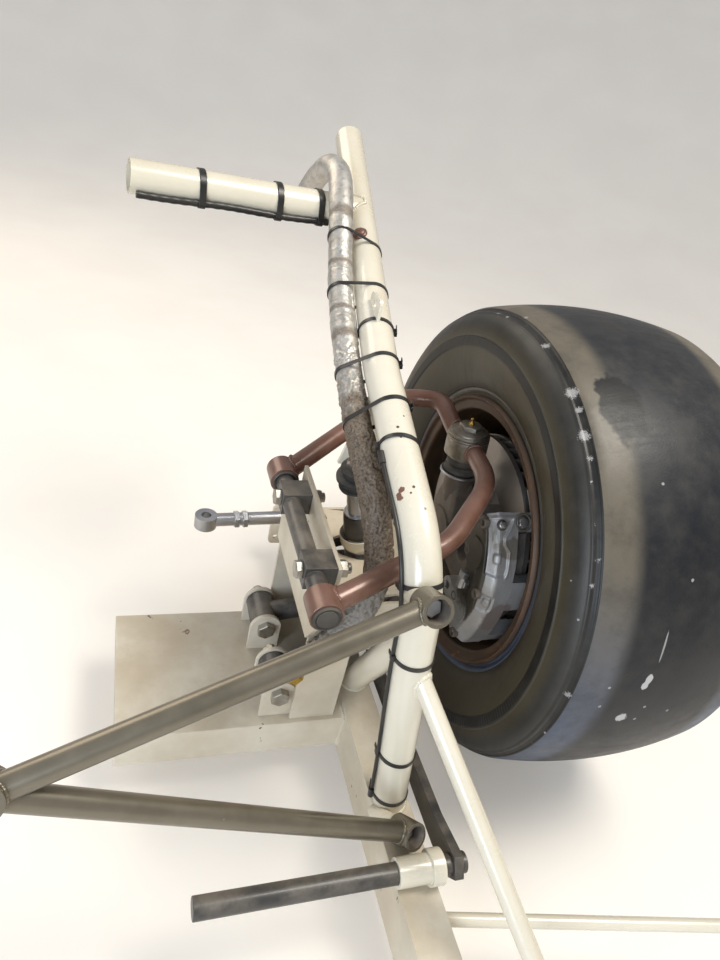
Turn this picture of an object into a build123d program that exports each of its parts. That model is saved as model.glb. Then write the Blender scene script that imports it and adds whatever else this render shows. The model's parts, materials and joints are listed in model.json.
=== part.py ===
"""Front left wheel corner of a stock car: frame rail and tubes, suspension, brake, wheel and tyre.

Millimetres, +Z up, +X outboard to the car's left, +Y to the car's rear. The origin is the centre of
the rear flange of the frame rail, where the front clip bolts to the rest of the frame. Most places
are given from the wheel's centre by from_wheel().
"""

import os
from math import cos, pi, radians, sin, tan

from build123d import *

os.makedirs("parts", exist_ok=True)

# Frame rail, a rectangular tube with a bolting flange at its rear end
rail_width = 50.8
rail_height = 76.2
rail_wall = 3.0
rail_length = 890.0
flange_thickness = 8.0
flange_width = 100.0
flange_height = 92.0
flange_bolt_x = 74.0
flange_bolt_z = 60.0
flange_bolt_radius = 5.5

# Wheel centre, measured from the flange
wheel_x = 298.0
wheel_y = -330.0
wheel_z = 250.0


def from_wheel(x, y, z):
    """Give a place measured from the wheel's centre in the part's own frame."""
    return Vector(x + wheel_x, y + wheel_y, z + wheel_z)


# Round tubes of the front clip
main_tube_outer = 44.45
main_tube_wall = 3.0
cross_tube_outer = 44.45
cross_tube_wall = 3.0
rail_brace_outer = 38.1
rail_brace_wall = 3.0
nose_strut_outer = 22.2
nose_strut_wall = 2.0
fender_bar_diameter = 15.9
brace_tube_outer = 25.4
brace_tube_wall = 2.1
weld_gap = 0.15

# Wheel and tyre
tyre_radius = 351.0
tyre_crown = 14.0
tyre_half_tread = 132.0
tyre_half_section = 159.0
tyre_bulge_radius = 291.0
tyre_sidewall = 9.0
tyre_tread_depth = 13.0
bead_radius = 190.2
bead_width = 22.0
rim_half_width = 127.0
rim_flange_radius = 208.0
rim_lip_width = 11.0
rim_wall = 4.0
drop_centre_depth = 21.0
drop_centre_start = 30.0
drop_centre_end = 74.0
disc_thickness = 6.0
disc_bulge = 34.0
disc_face_radius = 84.0
disc_bulge_radius = 104.0
vent_hole_radius = 12.0
vent_hole_circle = 124.0
vent_holes = 10
tyre_fit = 0.2
sidewall_flare = 19.0
shoulder_flare = 7.0

# Hub, studs and brake rotor, carried on the spindle; the wheel's mounting face is inboard of its centre
mount_x = -40.0
stud_circle_radius = 63.5
studs = 5
stud_radius = 7.9
stud_length = 44.0
lug_nut_flats = 25.4
lug_nut_height = 22.0
hub_flange_radius = 76.0
hub_flange_thickness = 12.0
hub_barrel_radius = 38.0
hub_nose_length = 34.0
grease_cap_length = 24.0
rotor_radius = 149.0
rotor_thickness = 32.0
rotor_plate = 8.0
rotor_inner_radius = 88.0
rotor_setback = 58.0
rotor_centre = mount_x - rotor_setback
rotor_vanes = 36
hat_face = 8.0
hat_wall = 6.0
hat_radius = 84.0

# Kingpin line through the two ball joints, measured from the wheel's centre
upper_ball = from_wheel(-163.0, 17.0, 136.0)
lower_ball = from_wheel(-150.0, -3.0, -122.0)
ball_radius = 15.0
ball_clearance = 0.3
stud_neck_radius = 9.5

# Upper arm
upper_arm_outer = 26.7
upper_arm_wall = 3.4
upper_ring_outer = 31.0
upper_ring_height = 30.0
upper_shaft_x = -435.0
upper_shaft_z = 96.0
upper_shaft_rear = 14.0
upper_shaft_front = -276.0
upper_shaft_radius = 12.0
upper_bushing_radius = 19.0
upper_bushing_length = 34.0

# Lower arm
lower_arm_outer = 31.8
lower_arm_wall = 3.4
lower_pivot_x = -424.0
lower_pivot_z = -176.0
lower_pivot_rear = 8.0
lower_pivot_front = -118.0
lower_bushing_radius = 21.0
lower_bushing_length = 54.0

# Coil spring and shock absorber
spring_x = -310.0
spring_y = -52.0
spring_top = 0.0
spring_bottom = -124.0
spring_wire = 14.5
spring_outer = 127.0
spring_turns = 4.0
shock_radius = 23.0
shock_shaft_radius = 14.0

# Spring tower plates on the rail
plate = 5.0
shelf_z = 5.0
tower_plate_x = -410.0
tower_front = -160.0
tower_rear = 50.0
tower_top = 118.0

# Steering
steering_ball = from_wheel(-163.0, 158.0, -92.0)
tie_rod_inner = from_wheel(-505.0, 150.0, -104.0)
tie_rod_radius = 11.0

# Sway bar
sway_bar_radius = 12.5
sway_bar_y = -405.0
sway_bar_z = -193.0


def swept(route, radii, outer, wall, solid=False):
    """Sweep a round tube along straight runs joined by tangent arcs."""
    with BuildPart() as result:
        with BuildLine() as centre:
            if len(route) == 2:
                Line(*route)
            else:
                FilletPolyline(*route, radius=radii)
        with BuildSketch(Plane(origin=centre.line @ 0, z_dir=centre.line % 0)):
            Circle(outer / 2)
            if not solid:
                Circle(outer / 2 - wall, mode=Mode.SUBTRACT)
        sweep()
    return result.part


def rod(start, end, radius):
    """Make a round bar between two places."""
    axis = end - start
    with BuildPart() as result:
        with BuildSketch(Plane(origin=start, z_dir=axis)):
            Circle(radius)
        extrude(amount=axis.length)
    return result.part


def hexagon(start, axis, flats, height):
    """Make a hexagonal head that rises from a place along an axis."""
    with BuildPart() as result:
        with BuildSketch(Plane(origin=start, z_dir=axis)):
            RegularPolygon(flats / 2, 6, major_radius=False)
        extrude(amount=height)
        chamfer(result.faces().sort_by(Axis(start, axis))[-1].edges(), flats * 0.04)
    return result.part


def turned(origin, axis, outline):
    """Turn an outline of (radius, distance along the axis) places about an axis."""
    out = axis.cross(Vector(0, 1, 0)).normalized()
    with BuildPart() as result:
        with BuildSketch(Plane(origin=origin, x_dir=out, z_dir=out.cross(axis))):
            with BuildLine():
                Polyline(*outline, close=True)
            make_face()
        revolve(axis=Axis(origin, axis))
    return result.part


def keep(part, label):
    """Label a finished piece and write its file."""
    part.label = label
    export_step(part, f"parts/{label}.step")


# Rail top, the seat of the tubes and of the spring tower
rail_top = rail_height / 2
main_foot = Vector(wheel_x - 300.0, wheel_y - 303.0, rail_top)
main_corner = from_wheel(-341.0, -280.0, 165.0)
main_knee = from_wheel(-341.0, -27.0, 268.0)
main_rear = from_wheel(-292.0, 470.0, 452.0)
main_bend = 120.0
knee_bend = 400.0
main_route = [main_foot, main_corner, main_knee, main_rear]
main_line = FilletPolyline(*main_route, radius=[main_bend, knee_bend])
main_solid = swept(main_route, [main_bend, knee_bend], main_tube_outer + 2 * weld_gap, 0, solid=True)

# Frame rail
with BuildPart() as frame_rail:
    with BuildSketch(Plane.XZ.offset(flange_thickness)):
        Rectangle(rail_width, rail_height)
        offset(amount=-rail_wall, kind=Kind.INTERSECTION, mode=Mode.SUBTRACT)
    extrude(amount=rail_length - flange_thickness)
    with BuildSketch(Plane.XZ):
        RectangleRounded(flange_width, flange_height, 8.0)
        with GridLocations(flange_bolt_x, flange_bolt_z, 2, 2):
            Circle(flange_bolt_radius, mode=Mode.SUBTRACT)
    extrude(amount=flange_thickness)
    with BuildSketch(Plane.XZ.offset(rail_length)):
        Rectangle(rail_width, rail_height)
    extrude(amount=rail_wall)
keep(frame_rail.part, "frame_rail")

# Main tube, from its foot on the rail up and back over the wheel
with BuildPart() as main_tube:
    add(swept(main_route, [main_bend, knee_bend], main_tube_outer, main_tube_wall))
    with BuildSketch(Plane.XY.offset(rail_top)):
        with Locations((main_foot.X, main_foot.Y)):
            Circle(main_tube_outer)
    extrude(amount=-main_tube_outer, mode=Mode.SUBTRACT)
keep(main_tube.part, "main_tube")

# Cross tube, coped against the main tube and running inboard
cross_joint = from_wheel(-313.0, 275.0, 381.0)
cross_end = from_wheel(-640.0, 235.0, 391.0)
with BuildPart() as cross_tube:
    add(swept([cross_end, cross_joint], 0, cross_tube_outer, cross_tube_wall))
    add(main_solid, mode=Mode.SUBTRACT)
cross_tube_piece = cross_tube.part.solids().sort_by(SortBy.VOLUME)[-1]
keep(Part(cross_tube_piece.wrapped), "cross_tube")

# Diagonal brace from the rail up to the main tube's leg
brace_foot = Vector(wheel_x - 296.0, wheel_y - 104.0, rail_top)
brace_head = from_wheel(-333.0, -283.0, 75.0)
with BuildPart() as rail_brace:
    add(swept([brace_foot - (brace_head - brace_foot) * 0.2, brace_head], 0, rail_brace_outer,
              rail_brace_wall))
    add(main_solid, mode=Mode.SUBTRACT)
    split(bisect_by=Plane.XY.offset(rail_top + weld_gap), keep=Keep.TOP)
keep(Part(rail_brace.part.solids().sort_by(SortBy.VOLUME)[-1].wrapped), "rail_brace")

# Nose strut, from the leg forward and down
strut_start = from_wheel(-327.0, -283.0, 40.0)
strut_end = from_wheel(-207.0, -562.0, -183.0)
with BuildPart() as nose_strut:
    add(swept([strut_start, strut_end], 0, nose_strut_outer, nose_strut_wall))
    add(main_solid, mode=Mode.SUBTRACT)
keep(Part(nose_strut.part.solids().sort_by(SortBy.VOLUME)[-1].wrapped), "nose_strut")

# Thin bar from the rail out to the fender
bar_from_nose = 111.0
bar_start = Vector(rail_width / 2 + weld_gap, bar_from_nose - rail_length, rail_top - fender_bar_diameter)
bar_end = bar_start + Vector(332.6, -82.0, 20.0 + fender_bar_diameter)
with BuildPart() as fender_bar:
    add(rod(bar_start - Vector(8.0, -2.0, 1.0), bar_end, fender_bar_diameter / 2))
    split(bisect_by=Plane.YZ.offset(rail_width / 2 + weld_gap), keep=Keep.TOP)
keep(fender_bar.part, "fender_bar")

# Cross member, from the rail inboard, that carries the lower arm's pivots
cross_member_height = 60.0
cross_member_width = 224.0
cross_member_end = wheel_x - 640.0
cross_member_y = wheel_y + (lower_pivot_rear + lower_pivot_front) / 2
with BuildPart() as cross_member:
    with BuildSketch(Plane.YZ.offset(-rail_width / 2 - weld_gap)):
        with Locations((cross_member_y, 0)):
            Rectangle(cross_member_width, cross_member_height)
        offset(amount=-rail_wall, kind=Kind.INTERSECTION, mode=Mode.SUBTRACT)
    extrude(amount=cross_member_end + rail_width / 2)
keep(cross_member.part, "cross_member")
cross_member_top = cross_member_height / 2

# Lower pivot brackets, two ears for each bushing
ear = 6.0
ear_gap = lower_bushing_length + 1.0
lower_pivots = [from_wheel(lower_pivot_x, y, lower_pivot_z) for y in (lower_pivot_rear, lower_pivot_front)]
pivot_bolt_radius = 7.9
with BuildPart() as pivot_brackets:
    for pivot in lower_pivots:
        for side in (-1, 1):
            inner_face = pivot.Y + side * ear_gap / 2
            with BuildSketch(Plane.XZ.offset(-inner_face)):
                with Locations((pivot.X, pivot.Z)):
                    Circle(lower_bushing_radius + 3.0)
                with Locations((pivot.X, (pivot.Z + cross_member_top + weld_gap) / 2)):
                    Rectangle(2 * lower_bushing_radius + 6.0, pivot.Z - cross_member_top - weld_gap)
                with Locations((pivot.X, pivot.Z)):
                    Circle(pivot_bolt_radius + 0.1, mode=Mode.SUBTRACT)
            extrude(amount=-side * ear)
keep(pivot_brackets.part, "pivot_brackets")

# Bolts through the lower pivots
with BuildPart() as lower_pivot_bolts:
    for pivot in lower_pivots:
        half = ear_gap / 2 + ear
        shank = Vector(0, half + 20.0, 0)
        head = Vector(0, half + 0.1, 0)
        add(rod(pivot - head, pivot + shank, pivot_bolt_radius))
        add(hexagon(pivot - head, Vector(0, -1, 0), 23.8, 10.0))
        add(hexagon(pivot + head, Vector(0, 1, 0), 23.8, 14.0))
keep(lower_pivot_bolts.part, "lower_pivot_bolts")

# Shock absorber's line, from the lower arm's seat up through the shelf
shock_top = from_wheel(-352.0, -62.0, 132.0)
shock_foot = from_wheel(-293.0, -46.0, spring_bottom)
shock_axis = (shock_top - shock_foot).normalized()
shelf_hole = shock_foot + shock_axis * ((wheel_z + shelf_z - shock_foot.Z) / shock_axis.Z) + Vector(-5, 4, 0)

# Spring tower: inboard plate, shelf with the shock's hole, front and rear cheeks
shelf_inner = wheel_x + tower_plate_x + plate
shelf_outer = wheel_x - 249.0
shelf_base = wheel_z + shelf_z - plate
cheek_inner = wheel_x - 340.0
cheek_foot = cross_member_top + weld_gap
with BuildPart() as spring_tower:
    with BuildSketch(Plane.YZ.offset(wheel_x + tower_plate_x)):
        with BuildLine():
            Polyline(
                (wheel_y + tower_rear - 66.0, wheel_z + tower_top),
                (wheel_y + tower_front - 54.0, wheel_z + tower_top - 8.0),
                (wheel_y + tower_front - 50.0, wheel_z + shelf_z + 20.0),
                (wheel_y + tower_front, wheel_z + shelf_z - 60.0),
                (wheel_y + tower_rear, wheel_z + shelf_z - 60.0),
                (wheel_y + tower_rear, wheel_z + shelf_z + 25.0),
                (wheel_y + tower_rear - 66.0, wheel_z + shelf_z + 65.0),
                close=True,
            )
        make_face()
    extrude(amount=plate)
    with BuildSketch(Plane.XY.offset(shelf_base)):
        with BuildLine():
            Polyline(
                (shelf_inner, wheel_y + tower_rear),
                (shelf_outer, wheel_y + tower_rear - 30.0),
                (shelf_outer, wheel_y + tower_front + 20.0),
                (shelf_inner, wheel_y + tower_front),
                close=True,
            )
        make_face()
        with Locations((shelf_hole.X, shelf_hole.Y)):
            SlotOverall(64.0, 48.0, rotation=150, mode=Mode.SUBTRACT)
    extrude(amount=plate)
    for cheek_y in (wheel_y + tower_rear - plate, wheel_y + tower_front):
        with BuildSketch(Plane.XZ.offset(-cheek_y)):
            with BuildLine():
                Polyline(
                    (shelf_inner, shelf_base),
                    (shelf_inner, cheek_foot),
                    (cheek_inner, cheek_foot),
                    (cheek_inner, shelf_base - 62.0),
                    (shelf_outer - 4.0, shelf_base - 16.0),
                    (shelf_outer - 4.0, shelf_base),
                    close=True,
                )
            make_face()
        extrude(amount=-plate)
    with BuildSketch(Plane.XZ.offset(-wheel_y - tower_rear + 62.0)):
        with BuildLine():
            Polyline(
                (shelf_inner, shelf_base + plate),
                (shelf_inner, wheel_z + 82.0),
                (shelf_inner + 42.0, shelf_base + plate + 26.0),
                (shelf_inner + 42.0, shelf_base + plate),
                close=True,
            )
        make_face()
    extrude(amount=plate)
    shaft_bolt_places = [from_wheel(tower_plate_x, y, upper_shaft_z) for y in (-58.0, -196.0)]
    for place in shaft_bolt_places:
        add(rod(place - Vector(5, 0, 0), place + Vector(plate + 5, 0, 0), 6.6), mode=Mode.SUBTRACT)
keep(spring_tower.part, "spring_tower")

# Upper arm: a horseshoe of tube from the ball joint's ring to the two bushings
kingpin = (upper_ball - lower_ball).normalized()
ring_centre = upper_ball + kingpin * 6.0
rear_bushing = from_wheel(upper_shaft_x, upper_shaft_rear - 20.0, upper_shaft_z)
front_bushing = from_wheel(upper_shaft_x, upper_shaft_front + 20.0, upper_shaft_z)
rear_route = [
    ring_centre + Vector(-8, 16, -6),
    from_wheel(-188.0, 112.0, 160.0),
    from_wheel(-240.0, 138.0, 150.0),
    rear_bushing,
]
front_route = [
    ring_centre + Vector(2, -14, -4),
    from_wheel(-183.0, -105.0, 143.5),
    from_wheel(-279.0, -209.0, 126.0),
    front_bushing,
]
housing_radius = 23.6
lower_housing_radius = 21.0
lower_cup_radius = 28.0
with BuildPart() as upper_arm:
    add(swept(rear_route, [42.0, 60.0], upper_arm_outer, upper_arm_wall, solid=True))
    add(swept(front_route, [60.0, 90.0], upper_arm_outer, upper_arm_wall, solid=True))
    add(rod(ring_centre - kingpin * upper_ring_height / 2, ring_centre + kingpin * upper_ring_height / 2,
            upper_ring_outer))
    for place in (rear_bushing, front_bushing):
        half = Vector(0, upper_bushing_length / 2, 0)
        add(rod(place - half, place + half, upper_bushing_radius))
        add(rod(place - half * 2, place + half * 2, upper_shaft_radius + 0.2), mode=Mode.SUBTRACT)
    add(rod(ring_centre - kingpin * 60.0, ring_centre + kingpin * 60.0, housing_radius + 0.15),
        mode=Mode.SUBTRACT)
keep(upper_arm.part, "upper_arm")

# Cross shaft of the upper arm, bolted to the tower's inboard plate
with BuildPart() as upper_shaft:
    add(rod(from_wheel(upper_shaft_x, upper_shaft_rear, upper_shaft_z),
            from_wheel(upper_shaft_x, upper_shaft_front, upper_shaft_z), upper_shaft_radius))
    for place in shaft_bolt_places:
        pad = Vector(upper_shaft_x - tower_plate_x, 0, 0)
        with BuildSketch(Plane(origin=place - Vector(0.1, 0, 0), z_dir=(-1, 0, 0))):
            Rectangle(30.0, 34.0)
        extrude(amount=upper_shaft_radius + 0.2 - pad.X)
        add(rod(place - Vector(60, 0, 0), place, 6.5), mode=Mode.SUBTRACT)
keep(upper_shaft.part, "upper_shaft")

# Bolts that hold the cross shaft
with BuildPart() as shaft_bolts:
    for place in shaft_bolt_places:
        face = place + Vector(upper_shaft_x - tower_plate_x - upper_shaft_radius - 0.4, 0, 0)
        add(rod(face, place + Vector(plate + 16.0, 0, 0), 6.4))
        add(hexagon(face, Vector(-1, 0, 0), 19.0, 8.0))
        add(hexagon(place + Vector(plate + 0.1, 0, 0), Vector(1, 0, 0), 19.0, 11.0))
keep(shaft_bolts.part, "shaft_bolts")

# Upper ball joint: housing with its two hexagons, open below for the stud
with BuildPart() as upper_ball_joint:
    add(rod(ring_centre - kingpin * 20.0, ring_centre + kingpin * 16.0, housing_radius))
    add(hexagon(ring_centre + kingpin * (upper_ring_height / 2 + 0.3), kingpin, 54.0, 15.0))
    add(hexagon(ring_centre + kingpin * (upper_ring_height / 2 + 15.0), kingpin, 32.0, 14.0))
    with Locations(Location(upper_ball)):
        Sphere(ball_radius + ball_clearance, mode=Mode.SUBTRACT)
    add(rod(upper_ball - kingpin * 40.0, upper_ball, stud_neck_radius + 3.0), mode=Mode.SUBTRACT)
keep(upper_ball_joint.part, "upper_ball_joint")

# Upper ball stud and its rubber boot, carried by the upright
upper_boss_top = upper_ball - kingpin * 38.0
boss_height = 32.0
with BuildPart() as upper_ball_stud:
    with Locations(Location(upper_ball)):
        Sphere(ball_radius)
    add(rod(upper_ball - kingpin * (38.0 + boss_height + 14.0), upper_ball, stud_neck_radius))
    add(hexagon(upper_boss_top - kingpin * (boss_height + 0.1), kingpin * -1, 27.0, 12.0))
keep(upper_ball_stud.part, "upper_ball_stud")

boot_gap = 0.3
boot_height = 38.0 - 20.0 + 6.0 - 2 * boot_gap
with BuildPart() as upper_boot:
    add(turned(upper_boss_top, kingpin, [
        (stud_neck_radius + 0.2, boot_gap), (25.5, boot_gap), (27.0, 4.0), (25.0, 8.0), (21.0, 11.0),
        (24.0, 15.0), (24.0, 19.0), (21.0, boot_gap + boot_height), (stud_neck_radius + 0.2, boot_gap + boot_height),
    ]))
keep(upper_boot.part, "upper_boot")

# Sway bar's arm end, and the tab on the lower arm that its link holds
sway_arm_x = wheel_x - 258.0
arm_thickness = 12.0
arm_end = Vector(sway_arm_x, wheel_y - 62.0, wheel_z - 214.0)
link_tab = 5.0
link_tab_x = sway_arm_x + arm_thickness - link_tab
link_top = Vector(link_tab_x, wheel_y - 54.0, wheel_z - 172.0)
link_pin_radius = 5.0

# Lower arm: two tubes from the ball joint's cup to the pivots, with the spring's seat
lower_cup = lower_ball - kingpin * 4.0
seat_centre = from_wheel(spring_x, spring_y, spring_bottom - 6.0)
arm_joint = lower_cup + kingpin * 5.0
with BuildPart() as lower_arm:
    for pivot in lower_pivots:
        add(swept([arm_joint + (pivot - arm_joint) * 0.04, pivot], 0, lower_arm_outer, lower_arm_wall,
                  solid=True))
    add(rod(lower_cup - kingpin * 17.0, lower_cup + kingpin * 15.0, lower_cup_radius))
    with BuildSketch(Plane.YZ.offset(link_tab_x)):
        with Locations((link_top.Y, link_top.Z + 12.0)):
            Rectangle(26.0, 46.0)
    extrude(amount=link_tab)
    add(rod(link_top - Vector(30, 0, 0), link_top + Vector(30, 0, 0), link_pin_radius + 0.2), mode=Mode.SUBTRACT)
    with BuildSketch(Plane(origin=seat_centre, z_dir=(0, 0, 1))):
        Circle(spring_outer / 2 + 4.0)
    extrude(amount=6.0 - 0.1)
    for pivot in lower_pivots:
        half = Vector(0, lower_bushing_length / 2, 0)
        add(rod(pivot - half, pivot + half, lower_bushing_radius))
        add(rod(pivot - half * 2, pivot + half * 2, pivot_bolt_radius + 0.1), mode=Mode.SUBTRACT)
    add(rod(lower_cup - kingpin * 40.0, lower_cup + kingpin * 40.0, lower_housing_radius + 0.15),
        mode=Mode.SUBTRACT)
keep(lower_arm.part, "lower_arm")

# Lower ball joint housing, pressed into the arm from below
with BuildPart() as lower_ball_joint:
    add(rod(lower_cup - kingpin * 18.0, lower_cup + kingpin * 18.0, lower_housing_radius))
    add(rod(lower_cup - kingpin * 24.0, lower_cup - kingpin * 17.3, lower_cup_radius - 2.0))
    with Locations(Location(lower_ball)):
        Sphere(ball_radius + ball_clearance, mode=Mode.SUBTRACT)
    add(rod(lower_ball, lower_ball + kingpin * 40.0, stud_neck_radius + 3.0), mode=Mode.SUBTRACT)
keep(lower_ball_joint.part, "lower_ball_joint")

lower_boss_base = lower_ball + kingpin * 26.0
with BuildPart() as lower_ball_stud:
    with Locations(Location(lower_ball)):
        Sphere(ball_radius)
    add(rod(lower_ball, lower_boss_base + kingpin * (boss_height + 14.0), stud_neck_radius))
    add(hexagon(lower_boss_base + kingpin * (boss_height + 0.1), kingpin, 27.0, 12.0))
keep(lower_ball_stud.part, "lower_ball_stud")

# Coil spring between the shelf and the seat on the lower arm
coil_radius = (spring_outer - spring_wire) / 2
spring_base = from_wheel(spring_x, spring_y, spring_bottom)
spring_height = spring_top - spring_bottom
coil_rise = spring_height - spring_wire - 0.4
with BuildPart() as coil_spring:
    with BuildLine(Plane(origin=spring_base + Vector(0, 0, spring_wire / 2 + 0.2))) as coil:
        Helix(pitch=coil_rise / spring_turns, height=coil_rise, radius=coil_radius)
    with BuildSketch(Plane(origin=coil.line @ 0, z_dir=coil.line % 0)):
        Circle(spring_wire / 2)
    sweep(is_frenet=True)
keep(coil_spring.part, "coil_spring")

# Shock absorber: body on the lower arm, shaft up through the shelf to its bracket
shock_body_end = 116.0
with BuildPart() as shock_body:
    add(rod(shock_foot + shock_axis * 12.0, shock_foot + shock_axis * shock_body_end, shock_radius))
    fillet(shock_body.edges().filter_by(GeomType.CIRCLE), 3.0)
    add(rod(shock_foot + shock_axis * 4.5, shock_foot + shock_axis * 14.0, 15.0))
keep(shock_body.part, "shock_body")

with BuildPart() as shock_shaft:
    add(rod(shock_foot + shock_axis * (shock_body_end + 0.2), shock_top - shock_axis * 12.0, shock_shaft_radius))
    add(rod(shock_foot + shock_axis * (shock_body_end + 10.0), shock_foot + shock_axis * (shock_body_end + 48.0),
            18.5))
    for offset_along, radius, height in ((-14.0, 24.0, 4.0), (-10.0, 19.0, 9.0), (5.0, 19.0, 9.0),
                                         (14.0, 21.0, 3.0)):
        add(rod(shock_top + shock_axis * offset_along, shock_top + shock_axis * (offset_along + height),
                radius))
    add(rod(shock_top - shock_axis * 14.0, shock_top + shock_axis * 32.0, 7.0))
    add(hexagon(shock_top + shock_axis * 17.0, shock_axis, 19.0, 9.0))
keep(shock_shaft.part, "shock_shaft")

# Bracket from the main tube down to the shock's top
with BuildPart() as shock_bracket:
    with BuildSketch(Plane(origin=shock_top, z_dir=shock_axis)):
        Circle(27.0)
        Circle(8.0, mode=Mode.SUBTRACT)
    extrude(amount=4.6)
    strap_foot = from_wheel(-335.0, -62.0, 254.0)
    with BuildSketch(Plane.XZ.offset(-shock_top.Y - 27.0)):
        with BuildLine():
            Polyline((shock_top.X - 22.0, shock_top.Z + 6.0), (shock_top.X + 22.0, shock_top.Z + 1.0),
                     (strap_foot.X + 14.0, strap_foot.Z), (strap_foot.X - 14.0, strap_foot.Z), close=True)
        make_face()
    extrude(amount=5.0)
    add(main_solid, mode=Mode.SUBTRACT)
keep(shock_bracket.part, "shock_bracket")

# Upright with its spindle
spindle_setback = 104.0
upright_face = mount_x - spindle_setback
spindle_root = Vector(wheel_x + upright_face, wheel_y, wheel_z)
with BuildPart() as upright:
    add(rod(upper_boss_top - kingpin * boss_height, upper_boss_top, 21.0))
    add(rod(lower_boss_base, lower_boss_base + kingpin * boss_height, 24.0))
    post_low = lower_boss_base + kingpin * 16.0
    post_high = upper_boss_top - kingpin * 16.0
    lower_plane = Plane(origin=post_low, x_dir=(0, 1, 0), z_dir=kingpin)
    middle_plane = Plane(origin=post_low + (post_high - post_low) * 0.5, x_dir=(0, 1, 0), z_dir=kingpin)
    upper_plane = Plane(origin=post_high, x_dir=(0, 1, 0), z_dir=kingpin)
    lower_plane.origin += Vector(4.0, 0, 0)
    upper_plane.origin += Vector(4.0, 0, 0)
    with BuildSketch(lower_plane):
        RectangleRounded(40.0, 34.0, 6.0)
    with BuildSketch(middle_plane):
        RectangleRounded(70.0, 38.0, 6.0)
    with BuildSketch(upper_plane):
        RectangleRounded(34.0, 30.0, 6.0)
    loft()
    add(rod(spindle_root - Vector(34, 0, 0), spindle_root, 36.0))
    for start, end, radius in ((0.0, 18.0, 24.0), (18.0, 84.0, 22.0), (84.0, 134.0, 15.0)):
        add(rod(spindle_root + Vector(start, 0, 0), spindle_root + Vector(end, 0, 0), radius))
    add(rod(upper_boss_top - kingpin * (boss_height + 18.0), upper_boss_top - kingpin * boss_height, 17.5),
        mode=Mode.SUBTRACT)
    add(rod(lower_boss_base + kingpin * boss_height, lower_boss_base + kingpin * (boss_height + 18.0), 17.5),
        mode=Mode.SUBTRACT)
    add(rod(upper_boss_top - kingpin * 60.0, upper_boss_top + kingpin * 5.0, stud_neck_radius + 0.15),
        mode=Mode.SUBTRACT)
    add(rod(lower_boss_base - kingpin * 5.0, lower_boss_base + kingpin * 60.0, stud_neck_radius + 0.15),
        mode=Mode.SUBTRACT)
keep(upright.part, "upright")

# Steering arm, from the upright's foot back to the tie rod's ball
arm_root = lower_boss_base + kingpin * 15.0
arm_eye = steering_ball + kingpin * 31.0
arm_run = (arm_eye - arm_root).normalized()
with BuildPart() as steering_arm:
    with BuildSketch(Plane(origin=arm_root + arm_run * 24.6, x_dir=(1, 0, 0), z_dir=arm_run)):
        RectangleRounded(30.0, 26.0, 5.0)
    with BuildSketch(Plane(origin=arm_eye - arm_run * 10.0, x_dir=(1, 0, 0), z_dir=arm_run)):
        RectangleRounded(20.0, 18.0, 4.0)
    loft()
    add(rod(arm_eye - kingpin * 11.0, arm_eye + kingpin * 11.0, 16.0))
    add(rod(arm_eye - kingpin * 20.0, arm_eye + kingpin * 20.0, 7.1), mode=Mode.SUBTRACT)
    add(upright.part, mode=Mode.SUBTRACT)
    add(rod(lower_boss_base - kingpin * 5.0, lower_boss_base + kingpin * 60.0, 24.1), mode=Mode.SUBTRACT)
keep(steering_arm.part, "steering_arm")

# Tie rod's outer ball stud, held in the steering arm
tie_ball_radius = 9.0
with BuildPart() as tie_rod_stud:
    with Locations(Location(steering_ball)):
        Sphere(tie_ball_radius)
    add(rod(steering_ball, arm_eye + kingpin * 24.0, 6.8))
    add(hexagon(arm_eye + kingpin * 11.1, kingpin, 19.0, 9.0))
keep(tie_rod_stud.part, "tie_rod_stud")

# Tie rod with its two ends
tie_run = (tie_rod_inner - steering_ball).normalized()
with BuildPart() as tie_rod:
    add(rod(steering_ball + tie_run * 14.0, tie_rod_inner - tie_run * 14.0, tie_rod_radius))
    add(rod(steering_ball - kingpin * 14.0, steering_ball + kingpin * 8.0, 17.0))
    add(rod(tie_rod_inner - Vector(0, 0, 11.0), tie_rod_inner + Vector(0, 0, 11.0), 18.0))
    for distance in (46.0, 60.0):
        add(hexagon(steering_ball + tie_run * distance, tie_run, 26.0, 8.0))
        add(hexagon(tie_rod_inner - tie_run * distance, tie_run * -1, 26.0, 8.0))
    with Locations(Location(steering_ball)):
        Sphere(tie_ball_radius + ball_clearance, mode=Mode.SUBTRACT)
    add(rod(steering_ball, steering_ball + kingpin * 20.0, 8.2), mode=Mode.SUBTRACT)
    add(rod(tie_rod_inner - Vector(0, 0, 20.0), tie_rod_inner + Vector(0, 0, 20.0), 7.95), mode=Mode.SUBTRACT)
keep(tie_rod.part, "tie_rod")

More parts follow.
